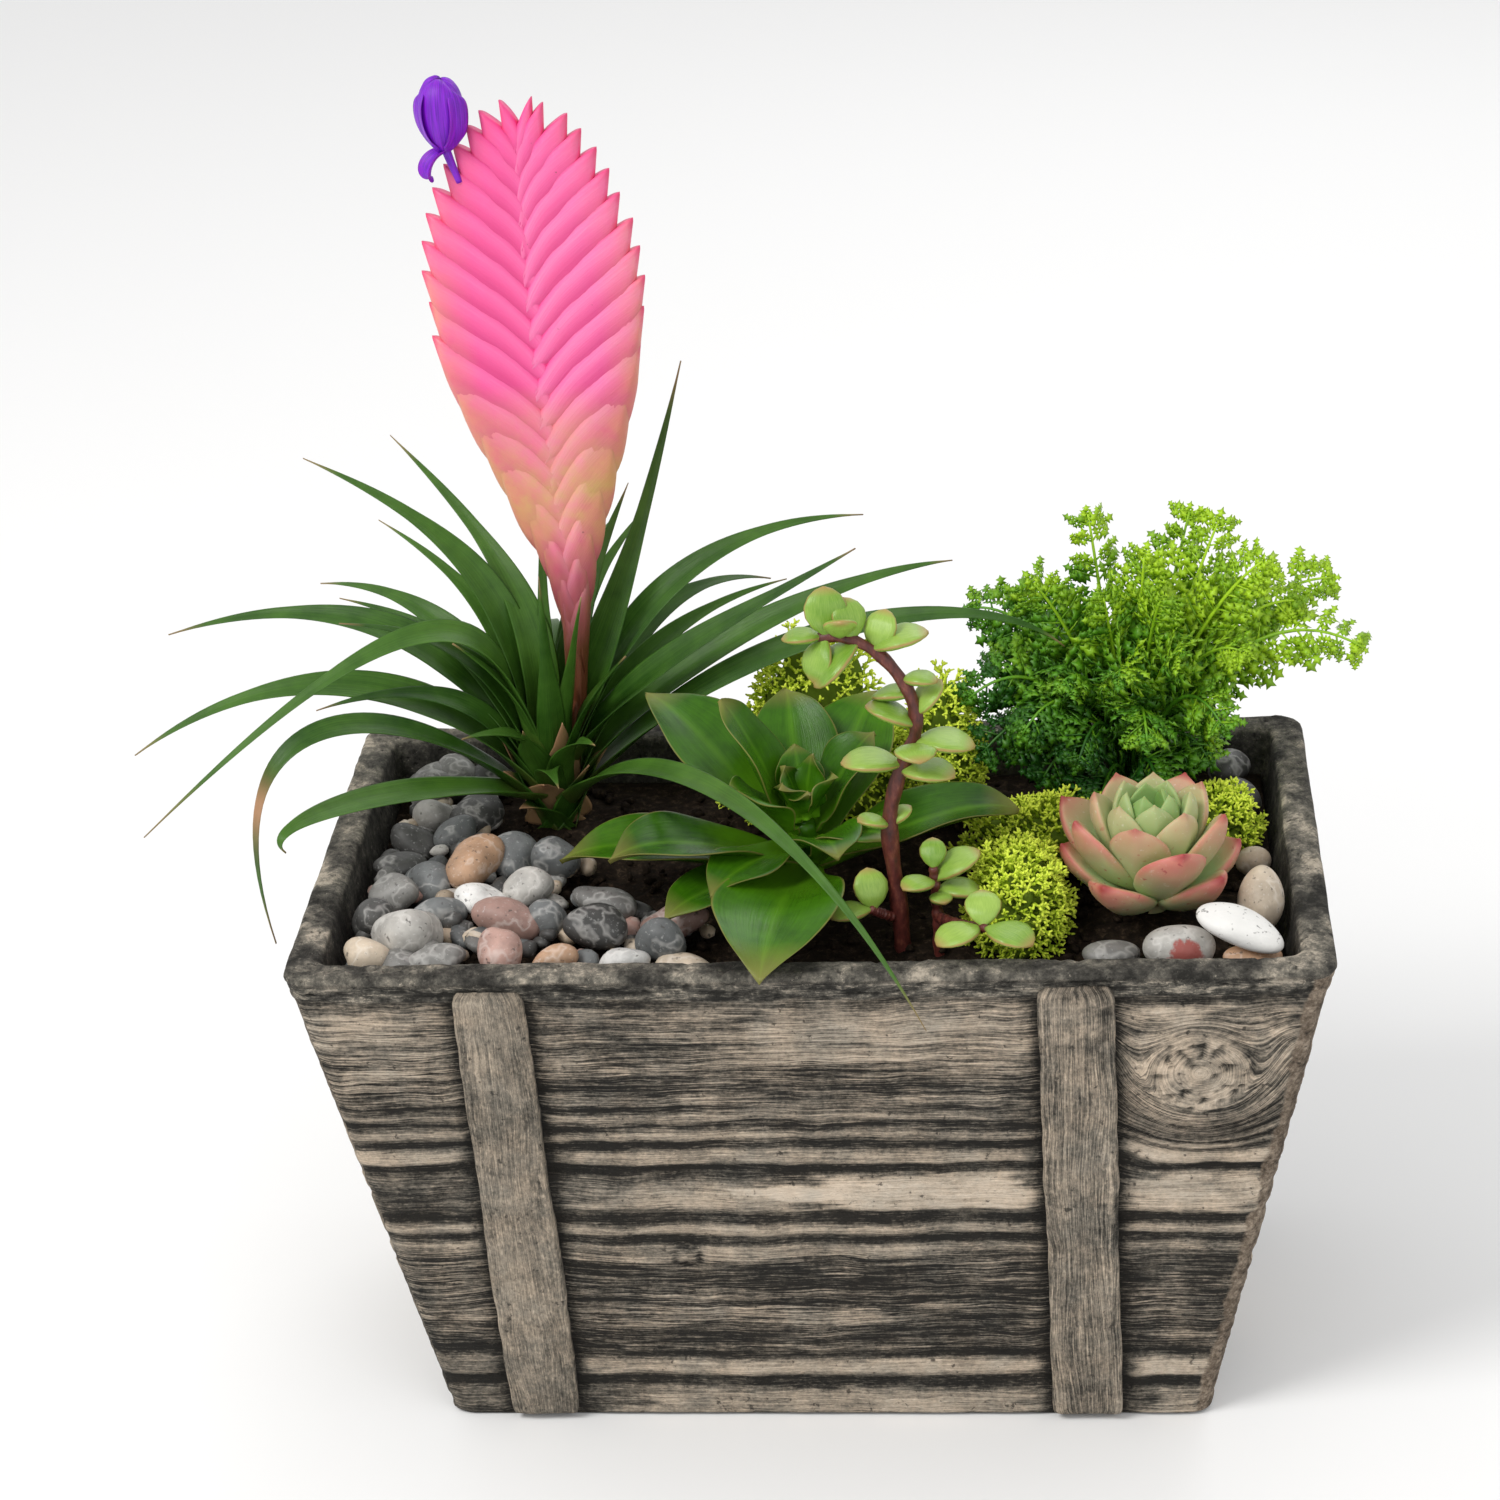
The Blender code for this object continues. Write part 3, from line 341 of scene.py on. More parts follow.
# Board face from the bottom up: height, relief in mm, how pale, how strong the fine grain is
boardBands = np.array([
    (0, -0.6, 0.16, 0.3), (1.5, 0.0, 0.24, 0.3), (10.5, 0.1, 0.26, 0.4), (12, -1.1, 0.03, 0.2),
    (15.5, -1.1, 0.02, 0.2), (17, 0.1, 0.40, 0.3), (22, 0.1, 0.42, 0.3), (23.5, -0.9, 0.04, 0.3),
    (27, -0.5, 0.12, 0.9), (40, -0.4, 0.19, 1.0), (56, -0.4, 0.16, 1.0), (60, -0.4, 0.20, 0.9),
    (63.5, -0.1, 0.44, 0.4), (65.5, 0.1, 0.52, 0.3), (66.6, -0.8, 0.04, 0.3), (69, -0.8, 0.05, 0.4),
    (70.5, 0.1, 0.55, 0.3), (72.3, 0.1, 0.55, 0.3), (73.6, -1.2, 0.03, 0.3), (77, -1.0, 0.06, 0.3),
    (79, 0.0, 0.20, 0.4), (91, 0.0, 0.22, 0.4), (92.5, -1.3, 0.02, 0.3), (95, -1.1, 0.03, 0.3),
    (96.5, 0.1, 0.58, 0.3), (100, 0.1, 0.56, 0.3), (101.5, -0.8, 0.06, 0.5), (104, -0.7, 0.10, 0.7),
    (105.5, 0.0, 0.50, 0.3), (107, 0.0, 0.48, 0.3), (108.5, -0.6, 0.10, 0.8), (111, -0.5, 0.16, 0.8),
    (112.4, 0.0, 0.46, 0.4), (113.8, 0.0, 0.42, 0.4), (115.5, -0.5, 0.14, 0.9), (119, -0.1, 0.42, 0.8),
    (122, -0.4, 0.26, 1.0), (133, -0.2, 0.40, 1.0), (146, -0.1, 0.46, 0.8), (151, -0.1, 0.42, 0.5),
    (152.5, -0.7, 0.10, 0.3),
])
# Deep grooves between the boards' bands, which the finish fills with painted shade: middle height and half
# height in mm
darkGrooves = [(13.6, 1.5), (25.0, 1.2), (67.8, 0.9), (75.2, 1.4), (93.8, 1.1), (102.7, 0.9), (109.6, 0.8),
               (116.4, 0.6)]
# Worn pale places on the front: from x, to x, from z, to z, gain in paleness, softness of the edge in mm
palePlaces = [
    (-8, 57, 78.6, 91.4, 0.72, 2.2), (-66, 4, 79.5, 89.0, 0.36, 4.0), (89, 131, 78.0, 92.0, 0.66, 3.0),
    (-52, 60, 17.6, 22.4, 0.30, 1.8), (-56, 60, 2.0, 10.5, 0.42, 3.0), (88, 116, 15.5, 21.5, 0.40, 1.6),
    (90, 113, 2.5, 11.0, 0.42, 3.0), (-22, 58, 132.0, 149.5, 0.30, 5.0), (88, 116, 137.0, 151.0, 0.34, 3.0),
    (-134, -103, 126.0, 150.0, 0.26, 4.0), (-128, -98, 95.5, 101.0, 0.10, 2.0),
    (86, 138, 95.8, 102.5, 0.24, 1.4), (-48, 10, 34.0, 50.0, 0.14, 7.0), (-112, -100, 16.0, 22.0, 0.2, 2.0),
]
# The lip and the inside: mm in from the outside, corner radius, mm below the top, roughness
rimRows = [
    (0.1, 7.0, 2.3, 0.3), (0.55, 6.8, 1.0, 0.5), (1.5, 6.4, 0.4, 0.6), (2.8, 6.0, 0.3, 0.7),
    (4.2, 5.6, 0.3, 0.7), (5.6, 5.2, 0.3, 0.7), (7.0, 4.8, 0.35, 0.7), (8.4, 4.5, 0.6, 0.6),
    (9.4, 4.2, 1.3, 0.5), (9.9, 4.0, 2.6, 0.4), (10.3, 4.0, 6, 0.8), (10.9, 4.0, 11, 0.8),
    (10.0, 4.0, 72, 0), (10.0, 4.0, 150, 0),
]


def halfAt(z):
    # half width and half depth of the box: its foot's and its rim's, blended by z / height
    share = np.asarray(z)[..., None] / trough["height"]
    return blend(np.array(trough["baseHalf"]), np.array(trough["topHalf"]), share)


def battenMiddle(foot, head, z):
    # x of a batten's middle line, from its foot to its head by z / height
    return foot + (head - foot) * z / trough["battenHeight"]


def wallPerimeter(samples):
    # round the box once: the corner centre's signs and the outward direction of each sample
    corners = np.array([(1, 1), (-1, 1), (-1, -1), (1, -1)])
    signs, turns = [], []
    for k, count in enumerate(samples):
        angles = np.radians(np.linspace(0, 90, 7)) + k * math.pi / 2
        around = np.column_stack([np.cos(angles), np.sin(angles)])
        t = np.linspace(0, 1, count + 2)[1:-1, None]
        signs += [np.tile(corners[k], (7, 1)), blend(corners[k], corners[(k + 1) % 4], t)]
        turns += [around, np.tile(around[-1], (count, 1))]
    return np.concatenate(signs), np.concatenate(turns)


def boardSurface(s, z, front):
    # relief in mm, paleness, grain line and grain strength of worn boards: bands by height, waving along
    # the board and bent round the knot, and on the front the worn pale places
    kx, kz, kw, kh = trough["knot"]
    r = np.hypot((s - kx) / kw, (z - kz) / kh)
    near = bell((r / 1.5) ** 2) * front
    wavy = z + 3.0 * lump(s, z, 52, 40, 1) + 1.5 * lump(s, z, 19, 15, 2) + 0.8 * lump(s, z, 7, 6, 3)
    wavy = wavy - 3.5 * bell((s - kx + 22) / 9, (z - 101) / 9) * front
    line = blend(wavy, kz + kh * r * 1.1 + 1.6 * lump(s, z, 7, 7, 9), near)
    bandZ = np.where(front > 0.5, line, line + 17 * np.sin(s / 300 + 1))
    relief, pale, cut = (np.interp(bandZ, boardBands[:, 0], boardBands[:, k]) for k in (1, 2, 3))
    # the other walls have the same boards with pale places of their own
    pale = pale + (1 - front) * easeStep((lump(s, bandZ, 46, 13, 30) - 0.02) * 5) * 0.42
    ragged = 1.44 * lump(s, z, 9, 3.5, 31) + 0.9 * lump(s, z, 3, 1.6, 32)
    endRagged = 26 * lump(s, z, 30, 2.6, 34) + 14 * lump(s, z, 8, 1.3, 35)
    for left, right, low, high, gain, soft in palePlaces:
        lengthwise = (np.minimum(s - left, right - s) + endRagged) / 3.5
        inside = np.minimum(lengthwise, np.minimum(wavy - low, high - wavy) + ragged)
        amount = gain * easeStep(inside / soft + 0.5) * front
        pale, relief = pale + amount, relief + 0.35 * amount
    fine = np.abs(2 * noise(s / 34, line / 1.25, 4) - 1) ** 0.7
    grooves = cut * ((fine - 0.55) * 1.1 + lump(s, line, 64, 3.0, 6))
    patch = 0.6 * lump(s, z, 24, 9, 7) + 0.4 * lump(s, z, 8, 4, 8)
    relief = relief + grooves * 0.62 + patch * 0.3
    pale = pale + grooves * 0.42 + patch * (0.55 - 0.17 * cut)
    # inside the knot: pale, lumpy and pitted, with a dark ragged outline
    inside = np.clip((1.0 - r + 0.25 * lump(s, z, 4, 4, 12)) * 6, 0, 1) * front
    pitted, lumps = pits(s, z, 1.7, 0.62, 7, 10), lump(s, z, 3.4, 3.4, 11)
    relief = blend(relief, 0.2 - 0.9 * pitted + 0.7 * lumps, inside)
    pale = blend(pale, 0.66 - 0.55 * pitted + 0.4 * lumps, inside)
    cut = blend(cut, 0.15, inside)
    # a small broken knot in the lower board
    sx, sz, half = trough["smallKnot"]
    small = (np.abs(s - sx) ** 3 + np.abs(z - sz) ** 3) ** (1 / 3) + 2.2 * lump(s, z, 1.6, 1.6, 36)
    ring = bell((small - half + 0.5) / 0.8) * front
    within = easeStep((half - small) / 0.8) * front
    return relief - 0.8 * ring, blend(pale, 0.34 + 0.5 * lumps, within) - 0.30 * ring, bandZ, cut


def buildTrough(finish):
    # every height is one ring round the box, pushed in and out by the boards' relief
    signs, turns = wallPerimeter(trough["samples"])
    turnX, turnY = turns.T

    def outline(halfX, halfY, corner):
        # a rectangle with round corners: each corner's centre plus its radius in the outward direction
        centreX, centreY = signs[:, 0] * (halfX - corner), signs[:, 1] * (halfY - corner)
        return centreX + turnX * corner, centreY + turnY * corner

    outerZ = np.concatenate([[1.2], np.linspace(2.0, 158.6, 204)])
    hx, hy = halfAt(outerZ).T[:, :, None]
    x, y = outline(hx, hy, trough["corner"])
    front, back = (easeStep(c * 4 - 2.2) for c in (-turnY, turnY))
    # run: distance round the box, the same as x on the front
    sides = [-turnY > 0.7, turnX > 0.7, turnY > 0.7]  # front, right and back; the rest is the left
    run = np.select(sides, [x, hx + hy + y, 2 * hx + 2 * hy - x], -hx - hy - y)
    z = np.broadcast_to(outerZ[:, None], run.shape)
    relief, pale, line, cut = boardSurface(run, z, front)
    # hollows beside the battens: relief pressed in, and painted shade darkening the paleness
    for foot, head in zip(trough["battenFeet"], trough["battenHeads"]):
        gap = np.abs(x - battenMiddle(foot, head, z)) - trough["battenHalfWidth"]
        soft = 1.5 + 2.2 * noise(z / 7, 0, 33)
        shade = np.exp(-((np.clip(gap, 0, 50) / soft) ** 1.5)) * (front + back)
        # painted shade: the paleness falls towards dark next to each batten
        relief, pale = relief - 0.7 * shade, blend(pale, -0.16, shade)
    # the smooth rim band, pitted, cracked and scuffed
    rim = easeStep((z - trough["rimBand"] - 1.8 * lump(run, 0, 14, 1, 13)) / 1.6)
    rimLumps = lump(run, z, 13, 7, 14) + 0.6 * lump(run, z, 3.5, 2.5, 15)
    rimPits = np.clip((noise(run / 1.9, z / 1.6, 16) - 0.74) * 7, 0, 1)
    waver = 2.2 * lump(run, 0, 16, 1, 37)
    cracks = bell((z - trough["crack"] - waver) / 0.5) * (noise(run / 9, 0, 38) > 0.42)
    relief = blend(relief - 0.3, rimLumps - 0.6 * rimPits, rim) - 0.5 * cracks * rim
    scuffs = 0.8 * lump(run, z, 12, 2.2, 17) + 0.7 * lump(run, z, 4, 1.1, 39)
    pale = blend(pale, 0.26 + scuffs - 0.3 * rimPits - 0.3 * cracks, rim)
    flat = easeStep((np.abs(turns).max(1) - 0.74) / 0.26)
    relief = relief * (0.35 + 0.65 * flat) * (1 - 0.45 * (np.abs(turnX) > 0.8))
    outer = np.stack([x + turnX * relief, y + turnY * relief, z], -1)

    def levelRing(inset, corner, height, rough=0.0):
        # one ring at a height, raised, pitted and pushed aside by noise times rough
        h = np.array(trough["topHalf"]) if height > 100 else halfAt(height)
        px, py = outline(h[0] - inset, h[1] - inset, corner)
        lumps = lump(px, py, 9, 9, 18) + 0.7 * lump(px, py, 2.6, 2.6, 19)
        pz = height + rough * (lumps - 1.3 * pits(px, py, 2.0, 0.72, 6, 20))
        aside = rough * 0.9 * (noise(px / 8, py / 8 + height * 0.02, 21) - 0.5)
        return np.stack([px + turnX * aside, py + turnY * aside, pz], -1)[None]

    lower = [levelRing(2.2, 6.0, 0.0), levelRing(1.0, 6.5, 0.4)]
    upper = [levelRing(inset, corner, trough["height"] - down, rough)
             for inset, corner, down, rough in rimRows]
    rings = np.concatenate(lower + [outer] + upper)
    first, last = len(lower), len(lower) + len(outer)

    def layer(numbers, rest):
        # the numbers on the outer wall, and the rest value below and above it
        whole = np.full((1, *rings.shape[:2]), float(rest))
        whole[0, first:last] = numbers
        return whole

    tone = layer(pale, 0.10)
    edgeX, edgeY = rings[last:, :, 0], rings[last:, :, 1]
    tone[0, last:] += 0.275 + 0.7 * lump(edgeX, edgeY, 11, 11, 22) + 0.6 * lump(edgeX, edgeY, 3.5, 3.5, 40)
    # painted shade: the inside of the box is darker from just below the lip down
    tone[0, last + 9:] *= 0.4  # down the inside
    rightEdge = np.where(-turnY > 0.25, hx - x, farEdge)
    part = tubePart(rings[None], pale=tone, rim=layer(rim, 1), cut=layer(cut * (1 - rim), 0),
                    line=layer(line, farLine), run=layer(run, 0), edge=layer(rightEdge, farEdge))
    addPiece("troughWalls", [part], finish, "planter_box")


def buildBattens(finish):
    # each strip: an oblong section with soft corners carried up the sloping wall, grain along it;
    # two on the front and two on the back
    steps, around, cornerCut = 128, 30, 1.7  # mm taken off the width at the very ends
    turn = turnsOf(around) + 0.01
    squared = [np.sign(c) * np.abs(c) ** 0.3 for c in (np.cos(turn), np.sin(turn))]
    a, out = squared[0] * trough["battenHalfWidth"], squared[1]
    t = np.linspace(0, 1, steps)[:, None]
    z = 1.3 + 155.4 * t
    end = np.clip(np.minimum(t, 1 - t) * steps / 1.4, 0, 1) ** 0.5
    index, facing, foot, head = (np.array(row)[:, None, None] for row in (
        range(4), (-1, -1, 1, 1), trough["battenFeet"] * 2, trough["battenHeads"] * 2))
    waver = 0.7 * lump(z, index, 30, 1, 23) + 0.5 * lump(z, index, 6, 1, 24)
    fibre = noise(a / 1.1 + 40 * index, z / 46, 25) - 0.5
    worn = 0.6 * (noise(a / 11 + 5 * index, z / 19, 26) - 0.5)
    worn = worn + 0.4 * (noise(a / 4 + 5 * index, z / 6, 27) - 0.5)
    knotted = bell(a / 9, (z - 148) / 8) * (index == 1)
    ripple = (noise(a / 2.4, z / 2.0, 28) - 0.4) * knotted
    onFace = np.clip(out, 0, 1) ** 0.5
    proud = trough["battenProud"] + onFace * (0.5 * fibre + 0.8 * worn - 1.2 * ripple)
    depth = np.where(out > 0, out * proud * end, out * 3.4)
    rounded = cornerCut * np.exp(-np.minimum(z - z[0], z[-1] - z) / 1.1)
    x = battenMiddle(foot, head, z) + a + (waver - rounded) * np.sign(a)
    rings = np.stack([x, facing * (halfAt(z[:, 0])[:, 1:] + depth), np.broadcast_to(z, x.shape)], -1)
    # painted shade on the battens' sides, off their faces; and a darker tone in a broad band round 96 mm up,
    # more on the first and third battens
    dark = 0.55 * (1 - easeStep(onFace * 2.2)) + bell((z - 96) / 34) * np.where(index % 2 == 0, 0.13, 0.05)
    strength = np.array([0.15, 0.5, 0.3, 0.3])[:, None, None]
    part = tubePart(rings, pale=0.43 + 0.25 * fibre + 0.42 * worn - 0.9 * ripple - dark,
                    line=a * 1.2 + 400 + 17 * index + 3 * noise(a / 5, z / 30, 29),
                    run=z, cut=strength * (1 - knotted), rim=0.0, edge=farEdge)
    addPiece("troughBattens", [part], finish, None)


def castFinish():
    # worn paint over cast boards: paleness from the point value, with its painted shade beside the battens
    # and down the inside, fine grain drawn along the grain line, broken into short worn flecks, with pits and
    # scuffs, and painted shade in the deep grooves
    finish = Finish("castBoards", 0.85, Specular_IOR_Level=0.16)
    pale, cut, run, line, rim, edge = map(finish.value, ("pale", "cut", "run", "line", "rim", "edge"))

    def flowing(alongScale, acrossScale, detail, rough):
        # noise stretched along the boards' grain
        return finish.streaks(run * alongScale, line * acrossScale, 0.0, 1.0, detail, rough)

    def contours(alongScale, acrossScale, *stops):
        # thin lines on the level curves of a long stretched noise
        return abs(flowing(alongScale, acrossScale, 2.0, 0.5).centred(7.0)).ramp(*stops)

    fine, finer = flowing(0.035, 1.15, 5.0, 0.68), flowing(0.10, 3.2, 3.0, 0.62)
    flecks = flowing(0.34, 1.7, 4.0, 0.7)
    speckle, scuff = finish.grain(800, 5, 0.7), finish.grain(210, 5, 0.68)
    grooves = (fine.centred(1.35) + finer.centred(0.95)) * (cut * 0.62 + 0.26)
    darkLines = contours(0.018, 0.62, (0.0, 1.0), (0.15, 0.7), (0.30, 0.0))
    darkLines = darkLines.most(contours(0.026, 1.2, (0.0, 0.9), (0.15, 0.6), (0.32, 0.0)))
    darkLines = darkLines * (cut * 0.36 + 0.14)
    ridges = contours(0.020, 0.95, (0.0, 1.0), (0.16, 0.6), (0.34, 0.0)) * (cut * 0.30)
    # painted shade in the deep grooves, with crisp, slightly ragged edges, weaker here and there
    span, soft = 160.0, 0.35  # mm of height that the ramp covers, and of a groove's soft edge
    stops = [(max(middle + side * half + out, 0) / span, amount) for middle, half in darkGrooves
             for side, out, amount in ((-1, -soft, 0.0), (-1, 0, 1.0), (1, 0, 1.0), (1, soft, 0.0))]
    # painted shade: a mask of the grooves, darkening the tone below
    inGroove = ((line + (finer.centred(2.2) + scuff.centred(2.6))) * (1 / span)).ramp(*stops)
    inGroove = inGroove * flowing(0.030, 0.085, 4.0, 0.65).ramp((0.38, 0.30), (0.54, 1.0))
    worn = flecks.ramp((0.50, 0.0), (0.60, 1.0)) * 0.26
    tone = pale + 0.15 + grooves - darkLines + ridges - inGroove * 0.27 + worn
    tone = tone + speckle.centred(0.75) + scuff.centred(0.75)
    wood = (tone * 0.8).ramp(
        (0.0, trough["dark"]), (0.13, (0.068, 0.062, 0.053)), (0.31, (0.165, 0.147, 0.121)),
        (0.50, (0.330, 0.284, 0.230)), (0.76, trough["pale"]), (1.0, (0.78, 0.67, 0.55)))
    mottle = finish.grain(75, 5, 0.65).ramp((0.35, (0.84, 0.86, 0.86)), (0.62, (1.06, 1.02, 0.97)))
    wood = mix(1.0, wood, mottle, "MULTIPLY")
    # the rim is dark and scuffed, with small pale chips
    rimTone = tone + 0.06 + (finish.grain(330, 6, 0.78).centred(1.5) + flecks.centred(0.9))
    rimTone = rimTone + finish.grain(520, 5, 0.75).ramp((0.62, 0.0), (0.68, 0.45))
    cement = rimTone.ramp(
        (0.0, (0.023, 0.0218, 0.019)), (0.32, (0.062, 0.058, 0.050)), (0.50, (0.112, 0.104, 0.087)),
        (0.72, (0.20, 0.182, 0.149)), (0.98, (0.46, 0.40, 0.32)))
    colour = mix(rim, wood, cement)
    # a chipped, browner strip down the right edge of the front
    ragged = edge + finish.grain(60, 5, 0.65).centred(9.0)
    stripColour = (scuff + speckle.centred(0.9)).ramp(
        (0.22, (0.045, 0.037, 0.030)), (0.42, (0.17, 0.130, 0.095)), (0.6, (0.33, 0.265, 0.200)),
        (0.8, (0.56, 0.46, 0.36)))
    colour = mix((ragged * 0.1).ramp((0.50, 1.0), (0.60, 0.0)), colour, stripColour)
    pitSpots = finish.grain(380, 3, 0.6)
    colour = mix(pitSpots.ramp((0.29, 0.75), (0.35, 0.0)), colour, trough["dark"])
    height = grooves * 1.3 + pitSpots.ramp((0.29, 0.0), (0.40, 1.0)) + worn * 1.5 - darkLines
    height = height - inGroove * 0.8 + ridges * 1.4 + speckle * 0.9
    return finish.paint(colour, height, 0.75, 0.0008)


print("trough")
cast = castFinish()
buildTrough(cast)
buildBattens(cast)

# Soil
soil = {
    "level": 147.0,
    "floor": 120.0,
    "inset": 10.6,  # mm from the outside of the box to the soil's edge
    "crumbs": 520,
    # rise, middle x and y, half width, half depth
    "mounds": [(2.0, -82, 44, 24, 20), (5.0, 80, 40, 50, 26), (6.0, 122, -56, 16, 14),
               (4.5, 96, -24, 17, 15)],
}


def soilHeight(x, y):
    # the level plus, for each mound, its rise times a bell over the distance from its middle
    height = soil["level"]
    for rise, middleX, middleY, wide, deep in soil["mounds"]:
        height = height + rise * bell((x - middleX) / wide, (y - middleY) / deep)
    return height


def buildSoil():
    # a crumbly sheet: the soil's height plus three sizes of noise, with walls and a floor below
    half = halfAt(150.0) - soil["inset"]
    u, v = np.meshgrid(np.linspace(-1, 1, 190), np.linspace(-1, 1, 100), indexing="ij")
    x, y = u * half[0], v * half[1]
    edge = np.clip((1 - np.maximum(np.abs(u), np.abs(v))) * 12, 0, 1)
    crumb = 1.6 * lump(x, y, 6, 6, 30) + 1.3 * lump(x, y, 2.4, 2.4, 31) + 0.9 * lump(x, y, 1, 1, 32)
    top = np.stack([x, y, soilHeight(x, y) - 0.4 + crumb * edge], -1).reshape(-1, 3)
    grid = np.arange(len(top)).reshape(x.shape)
    sheet = np.stack([grid[:-1, :-1], grid[1:, :-1], grid[1:, 1:], grid[:-1, 1:]], -1).reshape(-1, 4)
    loop = np.concatenate([grid[:-1, 0], grid[-1, :-1], grid[1:, -1][::-1], grid[0, 1:][::-1]])
    low = np.arange(len(loop)) + len(top)
    walls = np.stack([loop, low, np.roll(low, -1), np.roll(loop, -1)], -1)
    fan = np.stack([np.roll(low, -1), low, np.full(len(low), low[-1] + 1)], -1)
    skirt = top[loop] * [1, 1, 0] + upward * soil["floor"]
    points = np.concatenate([top, skirt, [upward * soil["floor"]]]) * mm
    # loose crumbs and bits of bark lie on the sheet
    draw = np.random.default_rng(44)
    count = soil["crumbs"]
    spots = draw.uniform(-1, 1, (count, 2)) * (half - 6)
    sizes = draw.uniform(0.8, 2.2, (count, 1)) * [1.3, 0.9, 0.7]
    spots = np.column_stack([spots, soilHeight(*spots.T) + 0.4])
    crumbs = stoneRings(spots, sizes, draw.uniform(0, 180, count), draw.uniform(-30, 30, count),
                        draw.uniform(0, 9, count), 5, 7, 0.25)
    finish = Finish("darkSoil", 0.95, Specular_IOR_Level=0.08)
    colour = finish.grain(420, 6, 0.7).ramp(
        (0.3, (0.006, 0.0045, 0.0035)), (0.55, (0.022, 0.015, 0.010)), (0.72, (0.085, 0.058, 0.038)))
    material = finish.paint(colour, finish.grain(700, 5, 0.7), 0.7, 0.001)
    addPiece("soilBed", [(points, [sheet, walls, fan], {}), tubePart(crumbs)], material, "soil")


# Pebbles and stones
stoneTints = {
    "grey": (0.25, 0.245, 0.23), "blue": (0.17, 0.18, 0.18), "dark": (0.075, 0.074, 0.070),
    "white": (0.84, 0.83, 0.80), "pale": (0.54, 0.52, 0.48), "tan": (0.58, 0.46, 0.33),
    "orange": (0.68, 0.42, 0.26), "pink": (0.50, 0.31, 0.26), "cream": (0.66, 0.55, 0.42),
}
pebbles = {
    "pitch": 16.0,  # mm between the larger pebbles
    "rows": (11, 10),  # how many rows, and how many pebbles in one
    "start": (-130, -63),
    "room": (130, 66),  # half width and half depth that they may fill
    "clear": 11,  # mm that the rows keep from the pebbles listed below
    "gravel": 260,
    "lumps": 0.15,
    "mix": ["grey", "blue", "dark", "grey", "pale", "tan", "dark", "blue", "cream", "pink"],
}
# x, y, half length, half width, half height, turn, tint
shownPebbles = [
    (-102, -2, 9, 7, 6.5, 40, "orange"), (-114, -44, 9.5, 8, 7.5, 20, "pale"),
    (-127, -56, 6.5, 5.5, 5, 10, "cream"), (-123, -18, 7.5, 6, 5.5, 0, "grey"),
    (-127, 2, 8, 5.5, 4, 25, "dark"), (-97, -22, 7, 5, 4.5, 15, "white"),
    (-83, -17, 7.5, 6.5, 6, 30, "pale"), (-77, 2, 7, 5.5, 6, 50, "blue"),
    (-87, -36, 10, 6, 5.5, 12, "pink"), (-62, -44, 9, 7, 6.5, 0, "dark"), (-41, -36, 9, 6, 5, 170, "pink"),
    (-41, -52, 7, 6, 6, 20, "blue"), (-51, -58, 7, 5, 4, 170, "white"),
    (-87, -54, 7, 6.5, 6.5, 120, "pink"), (-125, -35, 7, 6, 5.5, 70, "dark"),
    (-108, -30, 7, 5, 4.5, 10, "blue"), (-104, -57, 8.5, 5.5, 4.5, 15, "grey"),
    (-76, -34, 5.5, 5, 5, 0, "blue"), (-72, -57, 6.5, 5, 4, 0, "orange"), (-61, -26, 8, 6, 5, 150, "grey"),
    (-118, 32, 6, 5, 5, 0, "pale"), (-122, 46, 7, 5.5, 5.5, 20, "grey"), (-110, 22, 7, 5, 4.5, 30, "blue"),
]


def stoneRings(centres, sizes, turns, tilts, seeds, steps, around, lumps):
    # an ellipsoid swollen by a few slow waves whose phases come from its seed, tilted and then turned
    lat = np.linspace(0.04, math.pi - 0.04, steps)[:, None]
    lon = turnsOf(around)
    unitX, unitY, unitZ = np.sin(lat) * np.cos(lon), np.sin(lat) * np.sin(lon), np.cos(lat) + 0 * lon
    centres, sizes, seeds = (np.asarray(n, float)[:, None, None] for n in (centres, sizes, seeds))
    swell = 1.0
    for k, (fx, fy, fz) in enumerate(((1.7, 0.9, 1.1), (-1.2, 2.1, 0.7), (0.8, -1.5, 2.3), (2.9, 2.2, -1.8))):
        wave = np.sin(fx * unitX + fy * unitY + fz * unitZ + seeds * (3.1 + 1.7 * k))
        swell = swell + lumps / (1 + 0.4 * k) * wave
    x, y, z = np.moveaxis(np.stack([unitX * swell, unitY * swell, unitZ * swell], -1) * sizes, -1, 0)
    turn, tilt = (np.radians(np.asarray(a, float))[:, None, None] for a in (turns, tilts))
    x, z = x * np.cos(tilt) + z * np.sin(tilt), -x * np.sin(tilt) + z * np.cos(tilt)
    x, y = x * np.cos(turn) - y * np.sin(turn), x * np.sin(turn) + y * np.cos(turn)
    return np.stack([x, y, z], -1) + centres


